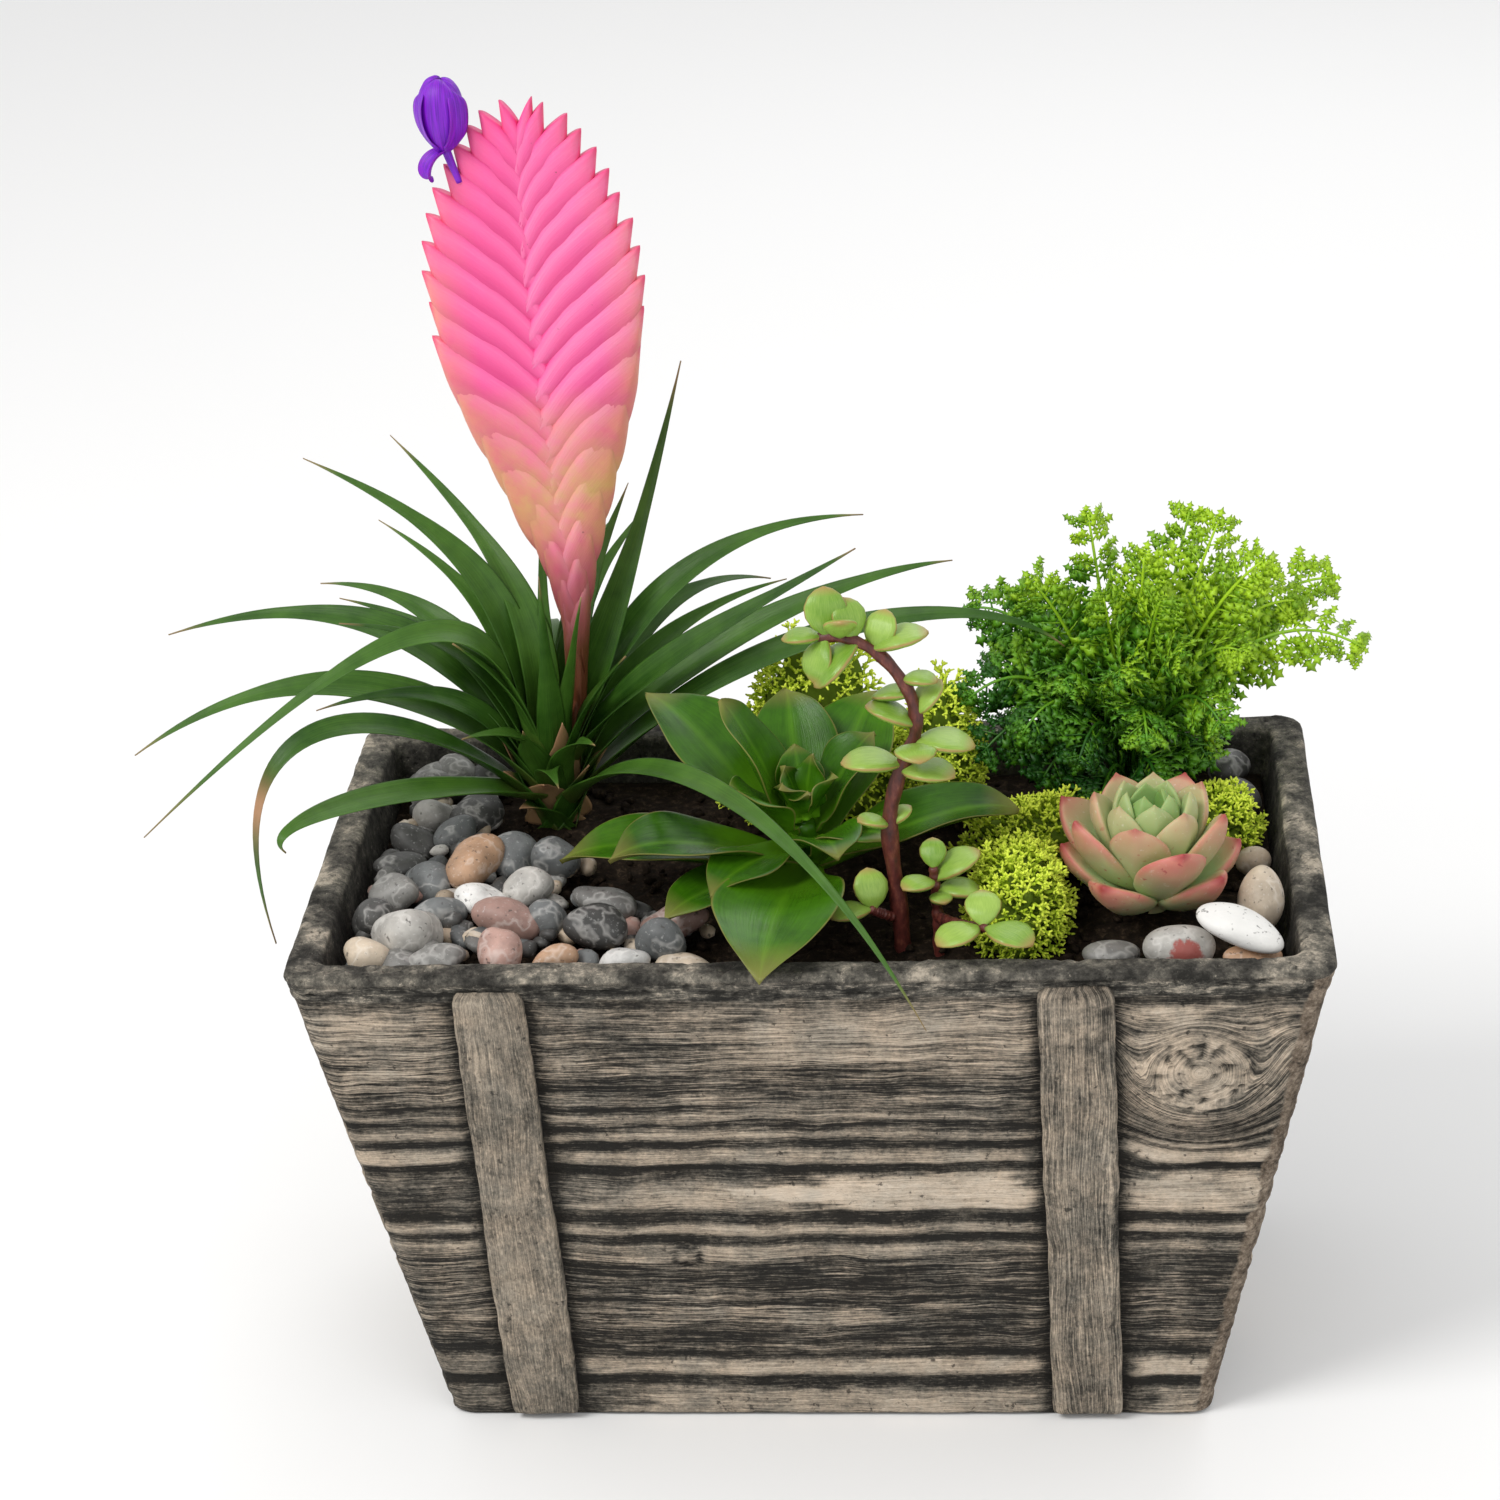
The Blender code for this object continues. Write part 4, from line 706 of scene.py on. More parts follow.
def stoneFinish(name, mottle, rusty=False):
    # the point tint, mottled at two sizes, with dark pits and pale veins
    finish = Finish(name, 0.5)
    tint = finish.value("tint", "Color")
    colour = mix(1.0, tint, finish.grain(130).ramp((0.3, 1 - mottle), (0.7, 1)), "MULTIPLY")
    fleck = finish.grain(950, 3).ramp((0.60, 0.0), (0.70, 0.38))
    colour = mix(fleck, colour, mix(0.6, tint, (0.8, 0.8, 0.78)))
    # pale veins follow the level curves of a broad noise
    vein = abs(finish.grain(62, 3).centred(8.0)).ramp((0.0, 0.50), (0.10, 0.30), (0.24, 0.0))
    colour = mix(vein, colour, mix(0.5, tint, (0.82, 0.80, 0.76)))
    colour = mix(finish.grain(560, 2, 0.5).ramp((0.28, 0.7), (0.36, 0.0)), colour, (0.05, 0.045, 0.04))
    if rusty:
        # a patch low on the front of the stone, fading with the distance from its middle
        ends = {0: finish.spot, 1: rustyMiddle}
        away = addNode(finish.tree, "VectorMath", "Value", ends, operation="DISTANCE")
        patch = ((away + finish.grain(420) * 0.006) * 100.0).ramp((0.72, 0.9), (0.86, 0.0))
        colour = mix(patch, colour, (0.36, 0.06, 0.045))
    return finish.paint(colour, finish.grain(500), 0.3, 0.0006)


def insideWalls(x, y, size, more=0):
    # x and y, moved no further out than the half room, so much more, less the stone's size
    ends = (half + more - size for half in pebbles["room"])
    return [min(max(where, -end), end) for where, end in zip((x, y), ends)]


def buildPebbleBed():
    # rows of larger pebbles, the pebbles that show best, and small gravel in the chinks
    draw = random.Random(7)
    names, pitch = pebbles["mix"], pebbles["pitch"]
    (startX, startY), (rowCount, columnCount) = pebbles["start"], pebbles["rows"]
    rows = []
    for row in range(rowCount):
        for column in range(columnCount):
            x = startX + (column + 0.5 * (row % 2)) * pitch + draw.uniform(-1.2, 1.2)
            y = startY + row * pitch * 0.87 + draw.uniform(-1.0, 1.0)
            size, turn = draw.uniform(7.0, 8.6), draw.uniform(0, 180)
            front = y < -20 and x < (-30 if y < -40 else -52)
            inBed = front or (y < 14 and x < -70) or x < -102
            if inBed and not any(math.dist((x, y), shown[:2]) < pebbles["clear"] for shown in shownPebbles):
                x, y = insideWalls(x, y, size)
                z, tint = soilHeight(x, y) + 0.55 * size + 1.2, names[(row * 7 + column * 3) % 10]
                rows.append((x, y, z, size, size * 0.85, size * 0.66, turn, tint))
    for x, y, a, b, c, turn, tint in shownPebbles:
        middle = *insideWalls(x, y, a, 2), soil["level"] + c + 3.0
        rows.append((*middle, a * 1.03, b * 1.03, c * 1.03, turn, tint))
    big = len(rows)
    for k in range(pebbles["gravel"]):
        x, y = draw.uniform(-129, -24), draw.uniform(-65, 64)
        size = draw.uniform(2.4, 4.4)
        if (y < -18 and x < -30) or (y < 14 and x < -68) or x < -100:
            z = soilHeight(x, y) + draw.uniform(3.0, 6.5)
            x, y = insideWalls(x, y, size, 1)
            rows.append((x, y, z, size, size * 0.8, size * 0.65, draw.uniform(0, 180), names[k % 10]))
    parts = []
    for some, steps, around in ((rows[:big], 18, 26), (rows[big:], 8, 10)):
        data = np.array([r[:7] for r in some])
        seeds = np.arange(len(some)) * 1.37
        tints = np.array([stoneTints[r[7]] for r in some]) * (1 + 0.25 * np.sin(seeds * 5))[:, None]
        rings = stoneRings(data[:, :3], data[:, 3:6], data[:, 6], np.sin(seeds * 9) * 14, seeds,
                           steps, around, pebbles["lumps"])
        parts.append(tubePart(rings, tint=tints[:, None, None]))
    addPiece("pebbleBed", parts, stoneFinish("mixedPebbles", 0.45), "pebble_bed")


# name of the CAD stone: tint, lumps, turn, tilt, half sizes against the CAD stone's own
looseStones = {
    "stone_dark_flat": ("grey", 0.06, 20, 6, (8.5, 5.5, 4.0)),
    "stone_red_spotted": ("pale", 0.06, 5, 4, (10.5, 7.0, 7.0)),
    "stone_tan": ("orange", 0.10, -6, 3, (8.5, 6.0, 4.0)),
    "stone_speckled": ("cream", 0.10, 8, 0, (6.5, 9.5, 9.5)),
    "stone_white": ("white", 0.11, -20, 16, (13.0, 7.0, 4.6)),
    "stone_small_beige": ("tan", 0.06, 0, 0, (5.5, 5.0, 4.5)),
    "stone_corner_grey": ("dark", 0.08, 60, 0, (8.0, 6.0, 5.5)),
    "stone_corner_dark": ("dark", 0.08, 10, 0, (6.0, 8.5, 4.5)),
}
rustyMiddle = (0.105, -0.0655, 0.158)  # metres


def buildStones():
    # each stone is stretched to the CAD stone's own box
    for index, (node, (tint, lumps, turn, tilt, sizes)) in enumerate(looseStones.items()):
        low, high = (np.array(corner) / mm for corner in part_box(node))
        middle = (low + high) / 2
        rings = stoneRings([middle], [sizes], [turn], [tilt], [2.3 * index + 0.7], 40, 56, lumps)
        own = rings.max((0, 1, 2)) - rings.min((0, 1, 2))
        rings = (rings - middle) * (high - low) / own + middle
        finish = stoneFinish(node + "Finish", 0.12 if tint == "white" else 0.4, node == "stone_red_spotted")
        part = tubePart(rings, tint=np.array(stoneTints[tint])[None, None, None])
        addPiece(node + "_detail", [part], finish, node)


print("soil, pebbles and stones")
buildSoil()
buildPebbleBed()
buildStones()

# Quill plant
quill = {
    "foot": (-82.0, 44.0, 152.0),
    "leafSteps": 46,
    "leafAround": 14,
    "channel": 0.50,  # how deep the leaves are folded
    "twist": 30.0,  # degrees by which the blades at the sides roll towards the front
    "leafGreen": (0.010, 0.048, 0.004),
    "leafPale": (0.074, 0.182, 0.022),
    "baseTone": (0.085, 0.085, 0.018),
    "dry": (0.40, 0.22, 0.12),
    "dryLeaf": 5,  # the row of the leaf whose bend has dried
}
# height on the crown, azimuth, reach, tip rise, bow reach, bow rise, half width; short ones fill the crown
quillLeaves = [
    (15, 160, 77, 104, 15, 84, 6.5), (12, 132, 76, 99, -2, 72, 6.5), (9, 174, 117, 53, 53, 76, 7),
    (5, 192, 124, 31, 72, 65, 7), (11, 207, 127, 20, 24, 94, 6), (0, 212, 94, -20, 112, 76, 5),
    (3, 230, 104, 26, 118, 42, 6), (16, 24, 48, 135, 24, 54, 8), (10, 16, 99, 82, 50, 87, 6),
    (13, -6, 95, 87, 62, 66, 6), (5, 8, 123, 71, 88, 70, 6), (1, -4, 155, 55, 126, 82, 5.5),
    (1, -50, 180, 0, 112, 60, 4.5), (12, -82, 20, 84, 14, 40, 5), (17, 90, 17, 96, 4, 40, 5),
    (10, 52, 40, 92, 18, 60, 6), (4, 74, 62, 70, 30, 70, 6), (5, 112, 70, 56, 36, 66, 6),
    (1, 40, 84, 50, 46, 66, 6), (1, 146, 92, 52, 44, 64, 6), (4, 258, 24, 36, 14, 24, 7),
    (9, 240, 42, 40, 20, 36, 6), (5, 300, 34, 34, 20, 32, 6), (8, 330, 30, 56, 16, 40, 6),
    (14, 305, 26, 78, 10, 44, 4.5), (7, 190, 60, 66, 20, 60, 5), (6, 150, 60, 82, 14, 66, 5),
    (11, 60, 58, 78, 16, 62, 5), (3, 280, 34, 22, 22, 26, 5), (2, 20, 76, 62, 40, 58, 5),
    (15, 215, 30, 62, 10, 42, 5.5), (3, 95, 58, 34, 36, 52, 5), (2, 200, 70, 44, 30, 52, 5.5),
    (6, 165, 66, 62, 22, 58, 5.5),
]
# the same for short sheaths round the foot of the crown
quillSheaths = [
    (-8, 268, 19, 16, 12, 12, 8.5), (-8, 312, 19, 20, 12, 12, 8.5), (-8, 226, 19, 18, 12, 12, 8.5),
    (-7, 352, 17, 20, 11, 12, 8.5), (-4, 292, 15, 34, 9, 20, 8.5), (-5, 200, 15, 24, 10, 12, 7.5),
    (-8, 248, 22, 9, 14, 7, 7.5), (-5, 30, 14, 24, 9, 14, 8),
]


def leafFinish(name, roughness, deep, bright, edge=None, edgeWidth=(0.93, 1.0), base=None, heart=None,
               dry=None, veinShare=0.65, **sockets):
    # green that varies leaf by leaf, with fine veins along it, a pale middle, a tinted edge, a darker root
    # and a dry brown where the piece has such a value
    finish = Finish(name, roughness, **sockets)
    along, across, seed = map(finish.value, ("along", "across", "seed"))
    veins = finish.streaks(across * 9.0, along * 1.6, seed, 3.0, 5.0)
    shade = veins * veinShare + finish.grain(90) * (1.2 - veinShare) + seed * 0.22
    colour = mix(shade.ramp((0.45, 0.0), (0.95, 1.0)), deep, bright)
    width = abs(across)
    if heart:
        inner = along.ramp((0.05, 0.75), (0.5, 0.0)).most(width.ramp((0.0, 0.26), (0.16, 0.0)))
        colour = mix(inner, colour, heart)
    if edge:
        outer = width.ramp((edgeWidth[0], 0.0), (edgeWidth[1], 0.9)).most(along.ramp((0.80, 0.0), (1.0, 0.8)))
        colour = mix(outer, colour, edge)
    if base:
        colour = mix(along.ramp((0.0, 0.9), (0.13, 0.0)), colour, base)
    if dry:
        colour = mix(finish.value("dry"), colour, dry)
    return finish.paint(colour, veins, 0.25, 0.0005)


def buildQuillLeaves():
    # each blade: a cubic curve in the upright plane at its azimuth, out of the crown, over its bow, to its
    # tip, folded along its middle, rolled towards the front and wandering a little sideways
    draw = np.random.default_rng(3)
    table = np.array(quillLeaves + quillSheaths)
    tier, azimuth, reach, rise, bowReach, bowRise, halfWidth = table.T[:, :, None]
    foot, away = np.array(quill["foot"]), level(table[:, 1])
    launch = foot + away * (4 + 0.3 * bowReach) + upward * (tier * 0.4 + 0.62 * bowRise)
    route = bezier(foot + away * 6.5 + upward * tier, launch, foot + away * bowReach + upward * bowRise,
                   foot + away * reach + upward * rise, quill["leafSteps"])
    side = np.cross(upward, away)[:, None]
    along = np.linspace(0, 1, quill["leafSteps"])[None]
    shape = (1.0 - along**3.5) * (0.54 + 0.36 * np.sin(math.pi * np.minimum(along * 1.3, 1)))
    widths = np.maximum(halfWidth * (shape + 0.70 * bell(along / 0.15)), 0.12)
    twist = np.radians(quill["twist"]) * np.cos(np.radians(azimuth)) * easeStep(along / 0.4)
    rings, _ = leafRings(route, side, widths, 1.3 * (1 - 0.55 * along), quill["channel"] * (1 - 0.5 * along),
                         quill["leafAround"], 1.5, twist)
    wander = draw.uniform(-1, 1, (len(table), 1)) * np.sin(math.pi * along) * 2.2
    rings = rings + (side * wander[..., None])[:, :, None]
    # one hanging blade has dried through, two old sheaths are brown, and every fine tip is a little dry
    row = np.arange(len(table))[:, None]
    dry = bell((along - 0.79) / 0.055) * (row == quill["dryLeaf"]) + 0.65 * easeStep((along - 0.93) / 0.07)
    oldSheath = (row >= len(quillLeaves)) * (0.9 * easeStep((along - 0.72) / 0.2) + 0.75 * (row % 4 == 2))
    dry = np.clip(np.maximum(dry, oldSheath), 0, 1)
    crownLine = foot + np.array([[0, 0, -12.0], [0, 0, 2], [0, 0, 16], [1, 0, 26]])
    parts = [leafPart(rings, draw.random(len(table)), dry=dry[..., None]),
             stemPart(crownLine, (6.5, 7.5, 6, 4.0), 12, 18, 0.3, (0, 0.33, 0.66, 1), along=0.02)]
    finish = leafFinish("quillLeaf", 0.33, quill["leafGreen"], quill["leafPale"], base=quill["baseTone"],
                        dry=quill["dry"], Specular_IOR_Level=0.25)
    addPiece("quillLeaves", parts, finish, "quill_plant_leaves")


spike = {
    "axis": [(-81, 44, 146), (-75, 44.5, 176), (-71.5, 45, 212), (-76, 45, 283), (-77.7, 45, 358)],
    "heights": (200, 232, 243, 259, 267, 284, 296, 308, 330, 345, 353, 358.6, 362, 365.3, 368.2, 370.7, 373),
    "halfWidths": (3, 4.5, 6, 11, 14, 21.5, 27, 30, 30, 26, 22.5, 19.5, 17.5, 15, 12, 8.5, 3.5),
    "tips": (222.0, 373.0),  # heights of the lowest and the highest tip
    "aSide": 18,
    "pink": (0.90, 0.070, 0.30),
    "highlightPink": (0.98, 0.235, 0.48),
    "creasePink": (0.70, 0.035, 0.20),
    "tipRed": (0.74, 0.035, 0.15),
    "edgePeach": (0.74, 0.33, 0.16),
    "lowYellow": (0.66, 0.44, 0.13),
    "stalkBrown": (0.15, 0.045, 0.018),
    "fleck": (0.20, 0.05, 0.05),
}
# outline of a bract from its foot to its tip: out, keel's climb, upper edge's climb, all as shares
bractOutline = [(0, 0, 0), (0.30, 0.03, 0.40), (0.58, 0.13, 0.67), (0.80, 0.32, 0.85), (0.93, 0.58, 0.945),
                (0.99, 0.80, 0.98), (1.03, 0.97, 1.0)]


def axisAt(height):
    # the point of the stalk's curve at a height
    line = spline(spike["axis"], 200)
    return np.stack([np.interp(height, line[:, 2], line[:, k]) for k in range(3)], -1)


def bractFinish():
    # pink by the depth below the upper edge, with a painted highlight across each band and painted shade
    # where it tucks under, deeper at the top and the tips, painted shade on the left half, with peach edges,
    # yellow patches low down and a brown stalk
    finish = Finish("pinkBracts", 0.45, Subsurface_Weight=0.10, Subsurface_Scale=0.003,
                    Subsurface_Radius=(1.0, 0.25, 0.3))
    along, below, across, seed = map(finish.value, ("along", "below", "across", "seed"))
    height = addNode(finish.tree, "SeparateXYZ", "Z", {"Vector": finish.spot})
    height = (height - 0.205) * 5.95  # 0 at the lowest bract, 1 at the top of the spike
    depth = below * 0.1
    veins = finish.streaks(below * 1.1, along * 2.0, seed, 2.0)
    patchy = finish.grain(85).ramp((0.34, 0.45), (0.62, 1.0))
    outerTop = height.ramp((0.70, 0.0), (0.95, 0.60)) * along.ramp((0.35, 0.15), (0.85, 1.0))
    low = height.ramp((0.04, 0.25), (0.18, 0.40), (0.31, 0.90), (0.50, 0.0)) * patchy
    rimShare = along.ramp((0.36, 0.0), (0.75, 1.0)) * height.ramp((0.50, 0.90), (0.86, 0.15)) * patchy
    # painted highlight across the middle of each band, palest about 3 mm below its upper edge
    bandHighlight = depth.ramp((0.0, 0.0), (0.06, 0.35), (0.30, 1.0), (0.62, 0.55))
    colour = mix(bandHighlight, spike["pink"], spike["highlightPink"])
    for amount, tint in (
        (veins.ramp((0.35, 0.0), (0.75, 0.45)), "pink"),
        # painted shade: the left half is deeper pink
        ((across + 0.5).ramp((0.0, 0.5), (1.0, 0.0)), "pink"),  # the left half
        (height.ramp((0.78, 0.0), (0.98, 0.45)), "pink"),
        (outerTop, "creasePink"),
        # painted shade: deeper pink where each bract tucks under the one below
        (depth.ramp((0.55, 0.0), (0.95, 0.70)), "creasePink"),
        (low, "lowYellow"),
        (rimShare, "edgePeach"),
        (along.ramp((0.78, 0.0), (0.97, 0.85)), "tipRed"),
        (height.ramp((0.0, 1.0), (0.10, 0.6), (0.22, 0.0)), "stalkBrown"),
        (finish.grain(330, 2, 0.5).ramp((0.20, 0.7), (0.25, 0.0)), "fleck"),
    ):
        colour = mix(amount, colour, spike[tint])
    return finish.paint(colour, veins, 0.3, 0.0006)


def buildSpike():
    # each bract is a folded boat between a keel, which bulges out and turns up to the tip, and an upper
    # edge, which climbs in an arc to the same tip; its sides swell a little in front and behind
    count, steps, around = 2 * spike["aSide"], 26, 20
    draw = np.random.default_rng(12)
    share = np.arange(count) / (count - 1)
    lowTip, highTip = spike["tips"]
    tipHeight = highTip - (highTip - lowTip) * (1 - share) ** 1.55
    rise = 44 - 11 * share + draw.uniform(-0.8, 0.8, count)
    foot = axisAt(tipHeight - rise)
    along = unit(axisAt(tipHeight) - foot)
    front = np.array([0.0, -1.0, 0.0])
    way = np.where(np.arange(count) % 2, 1, -1)
    out = unit(np.cross(along, front)) * way[:, None]
    reach = np.interp(tipHeight, spike["heights"], spike["halfWidths"]) + draw.uniform(-0.5, 1.0, count)
    outward, keelClimb, edgeClimb = spline(bractOutline, 300)[np.linspace(0, 299, steps).astype(int)].T
    u = np.linspace(0, 1, steps)
    edgeRise = 10 + 7 * share**2 + 0.60 * reach + 9 * (1 - share) ** 4
    shoulder = (0.9 - 0.3 * easeStep((share - 0.55) / 0.35))[:, None]
    keel = rise[:, None] * keelClimb
    edge = rise[:, None] - edgeRise[:, None] * (1 - edgeClimb**shoulder)
    tall = np.maximum(edge - keel, 0.25)
    base = foot[:, None] + out[:, None] * ((reach[:, None] + 2.5) * outward - 2.5)[..., None]
    base = base + along[:, None] * keel[..., None]
    thin = np.interp(u, [0, 0.3, 0.6, 0.85, 1], [0.85, 1.0, 0.72, 0.34, 0.06])
    depth = (5.0 - 1.9 * share + 0.2 * (np.arange(count) % 2))[:, None] * thin
    # round a section: up the front from the keel to the edge, over it, and down the back
    climb = np.linspace(0, 1, around // 2)
    climb, face = np.concatenate([climb, climb[::-1]]), np.repeat([1, -1], around // 2)
    below = (1 - climb) * tall[..., None]  # mm below the upper edge
    swell = np.interp(below, [0, 0.3, 1.2, 5, 9, 14, 30], [0.84, 0.97, 1.0, 0.99, 0.96, 0.90, 0.6])
    swell = swell * np.interp(climb, [0, 0.12, 0.4, 1], [0.03, 0.5, 1, 1])
    ribs = 1 + 0.015 * np.sin(below * 3.6 + 3 * u[:, None])
    rings = base[:, :, None] + along[:, None, None] * (tall[..., None] * climb)[..., None]
    rings = rings + front * (depth[..., None] * swell * ribs * face)[..., None]
    parts = [leafPart(rings, draw.random(count), below=below, across=way[:, None, None]),
             stemPart(spike["axis"], (3.2, 1.4), 40, 12, below=6.0)]
    addPiece("quillSpike", parts, bractFinish(), "quill_pink_spike")


flower = {"foot": (-99.0, 42.5, 358.5), "violet": (0.27, 0.005, 0.66), "deepViolet": (0.12, 0.001, 0.38)}
# azimuth, reach, rise, half width, fold, how far in the tip ends, seed
petals = np.array([
    (150, 6.4, 21.5, 7.8, 0.70, 0.15, 0.1), (20, 6.0, 21.0, 7.6, 0.70, 0.15, 0.5),
    (262, 6.4, 21.0, 8.0, 0.70, 0.15, 0.9), (215, 4.6, -6.5, 3.3, 0.6, 1.0, 0.7),
])


def buildFlower():
    # three broad petals close into a hood with a round top, a small one curls below, all on a short throat
    foot, away = np.array(flower["foot"]), level(petals[:, 0])
    _, reach, rise, halfWidth, fold, inward, seed = petals.T[:, :, None]
    out = away * reach
    route = bezier(foot + 0 * away, foot + out * 1.2 + upward * rise * 0.1, foot + out * 1.4 + upward * rise,
                   foot + out * inward + upward * rise, 26)
    along = np.linspace(0, 1, 26)[None]
    widths = halfWidth * np.sin(np.interp(along, [0, 0.5, 1], [0.3, 1.5, math.pi - 0.12])) ** 0.5
    rings, _ = leafRings(route, np.cross(upward, away)[:, None], widths, 0.7, fold, 18)
    throatLine = foot + np.array([(3.4, 0, -9), (1.4, 0, -3), (-1, 0, 5.0)])
    finish = Finish("violetPetal", 0.5, Subsurface_Weight=0.15, Subsurface_Scale=0.002)
    acrossWire, alongWire, seedWire = map(finish.value, ("across", "along", "seed"))
    veins = finish.streaks(acrossWire * 8.0, alongWire, seedWire * 9.0, 2.5, 4.0, 0.5)
    colour = mix(veins.ramp((0.35, 0.0), (0.7, 1.0)), flower["deepViolet"], flower["violet"])
    parts = [leafPart(rings, seed), stemPart(throatLine, (0.9, 1.5), 12, 12, 0.4)]
    material = finish.paint(colour, veins, 0.3, 0.0005)
    addPiece("violetFlower", parts, material, "quill_violet_flower")


print("quill plant")
buildQuillLeaves()
buildSpike()
buildFlower()

# Green rosette
rosette = {
    "foot": (-3.0, -8.0, 154.0),
    "deep": (0.012, 0.054, 0.002),
    "bright": (0.054, 0.180, 0.004),
    "heart": (0.160, 0.390, 0.014),
    "margin": (0.25, 0.22, 0.06),
    "outline": [(0, 0.22, 0), (0.2, 0.5, 0), (0.45, 0.95, 0), (0.62, 1.0, 0), (0.80, 0.68, 0),
                (0.92, 0.29, 0), (1, 0.01, 0)],
}
# height on the stem, azimuth, reach, tip rise, lift of the bow, half width
rosetteLeaves = np.array([
    (8, 146, 57, 44, 8, 15), (13, 166, 24, 54, 5, 11), (1, 184, 71, 8, 12, 14), (5, 206, 60, 19, 12, 14),
    (1, 226, 54, 7, 8, 11), (4, 264, 80, 9.5, 14, 18), (10, 238, 46, 14, 8, 10), (3, 4, 62, 18, 10, 15),
    (5, 62, 44, 40, 8, 15), (7, 100, 34, 44, 6, 13), (6, 320, 34, 22, 9, 12), (12, 290, 34, 22, 9, 11),
    (15, 212, 24, 34, 6, 10), (14, 30, 24, 40, 6, 10), (20, 105, 10, 38, 3, 7), (20, 345, 10, 34, 3, 7),
    (19, 232, 9, 33, 3, 6.5), (20, 285, 8, 31, 2, 6), (21, 60, 6, 37, 2, 5.5), (21, 165, 6, 35, 2, 5.5),
])


def outlineAt(along, outline):
    # half width against its greatest, on a smooth curve through (along, half width, 0)
    curve = spline(outline, 120)
    return np.interp(along, curve[:, 0], curve[:, 1])


def buildRosette():
    # each leaf: a curve out of the stem that lifts and then bends down, broad past its middle, pointed,
    # with a shallow groove over the midrib and a gentle wave along each edge
    steps, around = 40, 26
    foot, away = np.array(rosette["foot"]), level(rosetteLeaves[:, 1])
    tier, _, reach, rise, lift, halfWidth = rosetteLeaves.T[:, :, None]
    out = away * reach
    route = bezier(
        foot + away * 3.5 + upward * tier, foot + out * 0.3 + upward * (tier * 0.7 + rise * 0.2 + 3),
        foot + out * 0.75 + upward * (rise * 0.8 + lift), foot + out + upward * rise, steps)
    along = np.linspace(0, 1, steps)[None]
    widths = halfWidth * outlineAt(along, rosette["outline"])
    rings, above = leafRings(route, np.cross(upward, away)[:, None], widths, 3.0 - 1.6 * along,
                             0.46 - 0.26 * along, around, 1.7)
    cosTurn, sinTurn = np.cos(turnsOf(around)), np.sin(turnsOf(around))
    t = along[..., None]
    groove = -0.7 * bell(cosTurn / 0.12) * (sinTurn > 0) * (1 - t)
    seeds = np.random.default_rng(21).random(len(rosetteLeaves))
    wave = np.abs(cosTurn) ** 3 * np.sin(t * 11 + seeds[:, None, None] * 20 + 2 * np.sign(cosTurn))
    wave = (0.9 + 0.03 * tier[..., None]) * wave * (t > 0.15)
    rings = rings + above[:, :, None] * (groove + wave)[..., None]
    stem = stemPart(foot + np.outer((-16, 0, 18), upward), (4, 5, 3.2), 14, 14, along=0.6, across=0.6)
    finish = leafFinish("rosetteLeaf", 0.27, rosette["deep"], rosette["bright"], rosette["margin"],
                        (0.955, 1.0), heart=rosette["heart"], veinShare=0.38, Specular_IOR_Level=0.24)
    addPiece("rosetteLeaves", [leafPart(rings, seeds), stem], finish, "green_rosette")


print("green rosette")
buildRosette()

# Echeveria
echeveria = {
    "foot": (96.0, -23.0, 155.5),
    "leaves": 21,
    "between": (238, 318, 12, 108, 176),  # azimuths of the lowest leaves, between those above
    "paleGreen": (0.46, 0.57, 0.27),
    "heartGreen": (0.21, 0.40, 0.10),
    "blush": (0.60, 0.10, 0.11),
    "faceBlush": (0.62, 0.24, 0.20),
    "tipRed": (0.33, 0.030, 0.035),
    "dust": (0.85, 0.80, 0.72),
    "dots": (0.40, 0.05, 0.06),
    "outline": [(0, 0.44, 0), (0.25, 0.84, 0), (0.48, 1.0, 0), (0.66, 0.93, 0), (0.82, 0.62, 0),
                (0.915, 0.29, 0), (0.965, 0.10, 0), (1, 0.02, 0)],
}


def echeveriaFinish():
    # pale green, greener in the heart, blushing at the tips, edges and outer faces of the older leaves,
    # with a dusty bloom and small red dots
    finish = Finish("blushLeaf", 0.5, Subsurface_Weight=0.15, Subsurface_Scale=0.004)
    along, across, age, face = map(finish.value, ("along", "across", "age", "face"))
    bloom = finish.grain(260, 5, 0.65)
    old = age.ramp((0.10, 1.0), (0.36, 0.55), (0.60, 0.15), (0.85, 0.05))
    edge = abs(across).ramp((0.82, 0.0), (1.0, 0.8)) * along.ramp((0.3, 0.1), (0.7, 1.0))
    blush = along.ramp((0.56, 0.0), (0.88, 0.68), (1.0, 1.0)).most(edge) * old
    outerFace = face.ramp((0.0, 0.72), (0.5, 0.0)) * old * along.ramp((0.30, 0.08), (0.80, 1.0))
    colour = mix(age.ramp((0.45, 0.0), (1.0, 1.0)), echeveria["paleGreen"], echeveria["heartGreen"])
    for amount, tint in (
        (outerFace * finish.grain(75, 3).ramp((0.35, 0.5), (0.6, 1.0)), "faceBlush"),
        (blush.step("MULTIPLY", bloom.ramp((0.25, 0.75), (0.7, 1.0)), True), "blush"),
        (finish.grain(700, 3, 0.5).ramp((0.64, 0.0), (0.74, 0.35)), "dust"),
        (finish.grain(430, 2, 0.5).ramp((0.68, 0.0), (0.72, 0.7)) * old, "dots"),
        (along.ramp((0.90, 0.0), (0.97, 0.8)) * old, "tipRed"),
    ):
        colour = mix(amount, colour, echeveria[tint])
    return finish.paint(colour, bloom, 0.12, 0.0004)


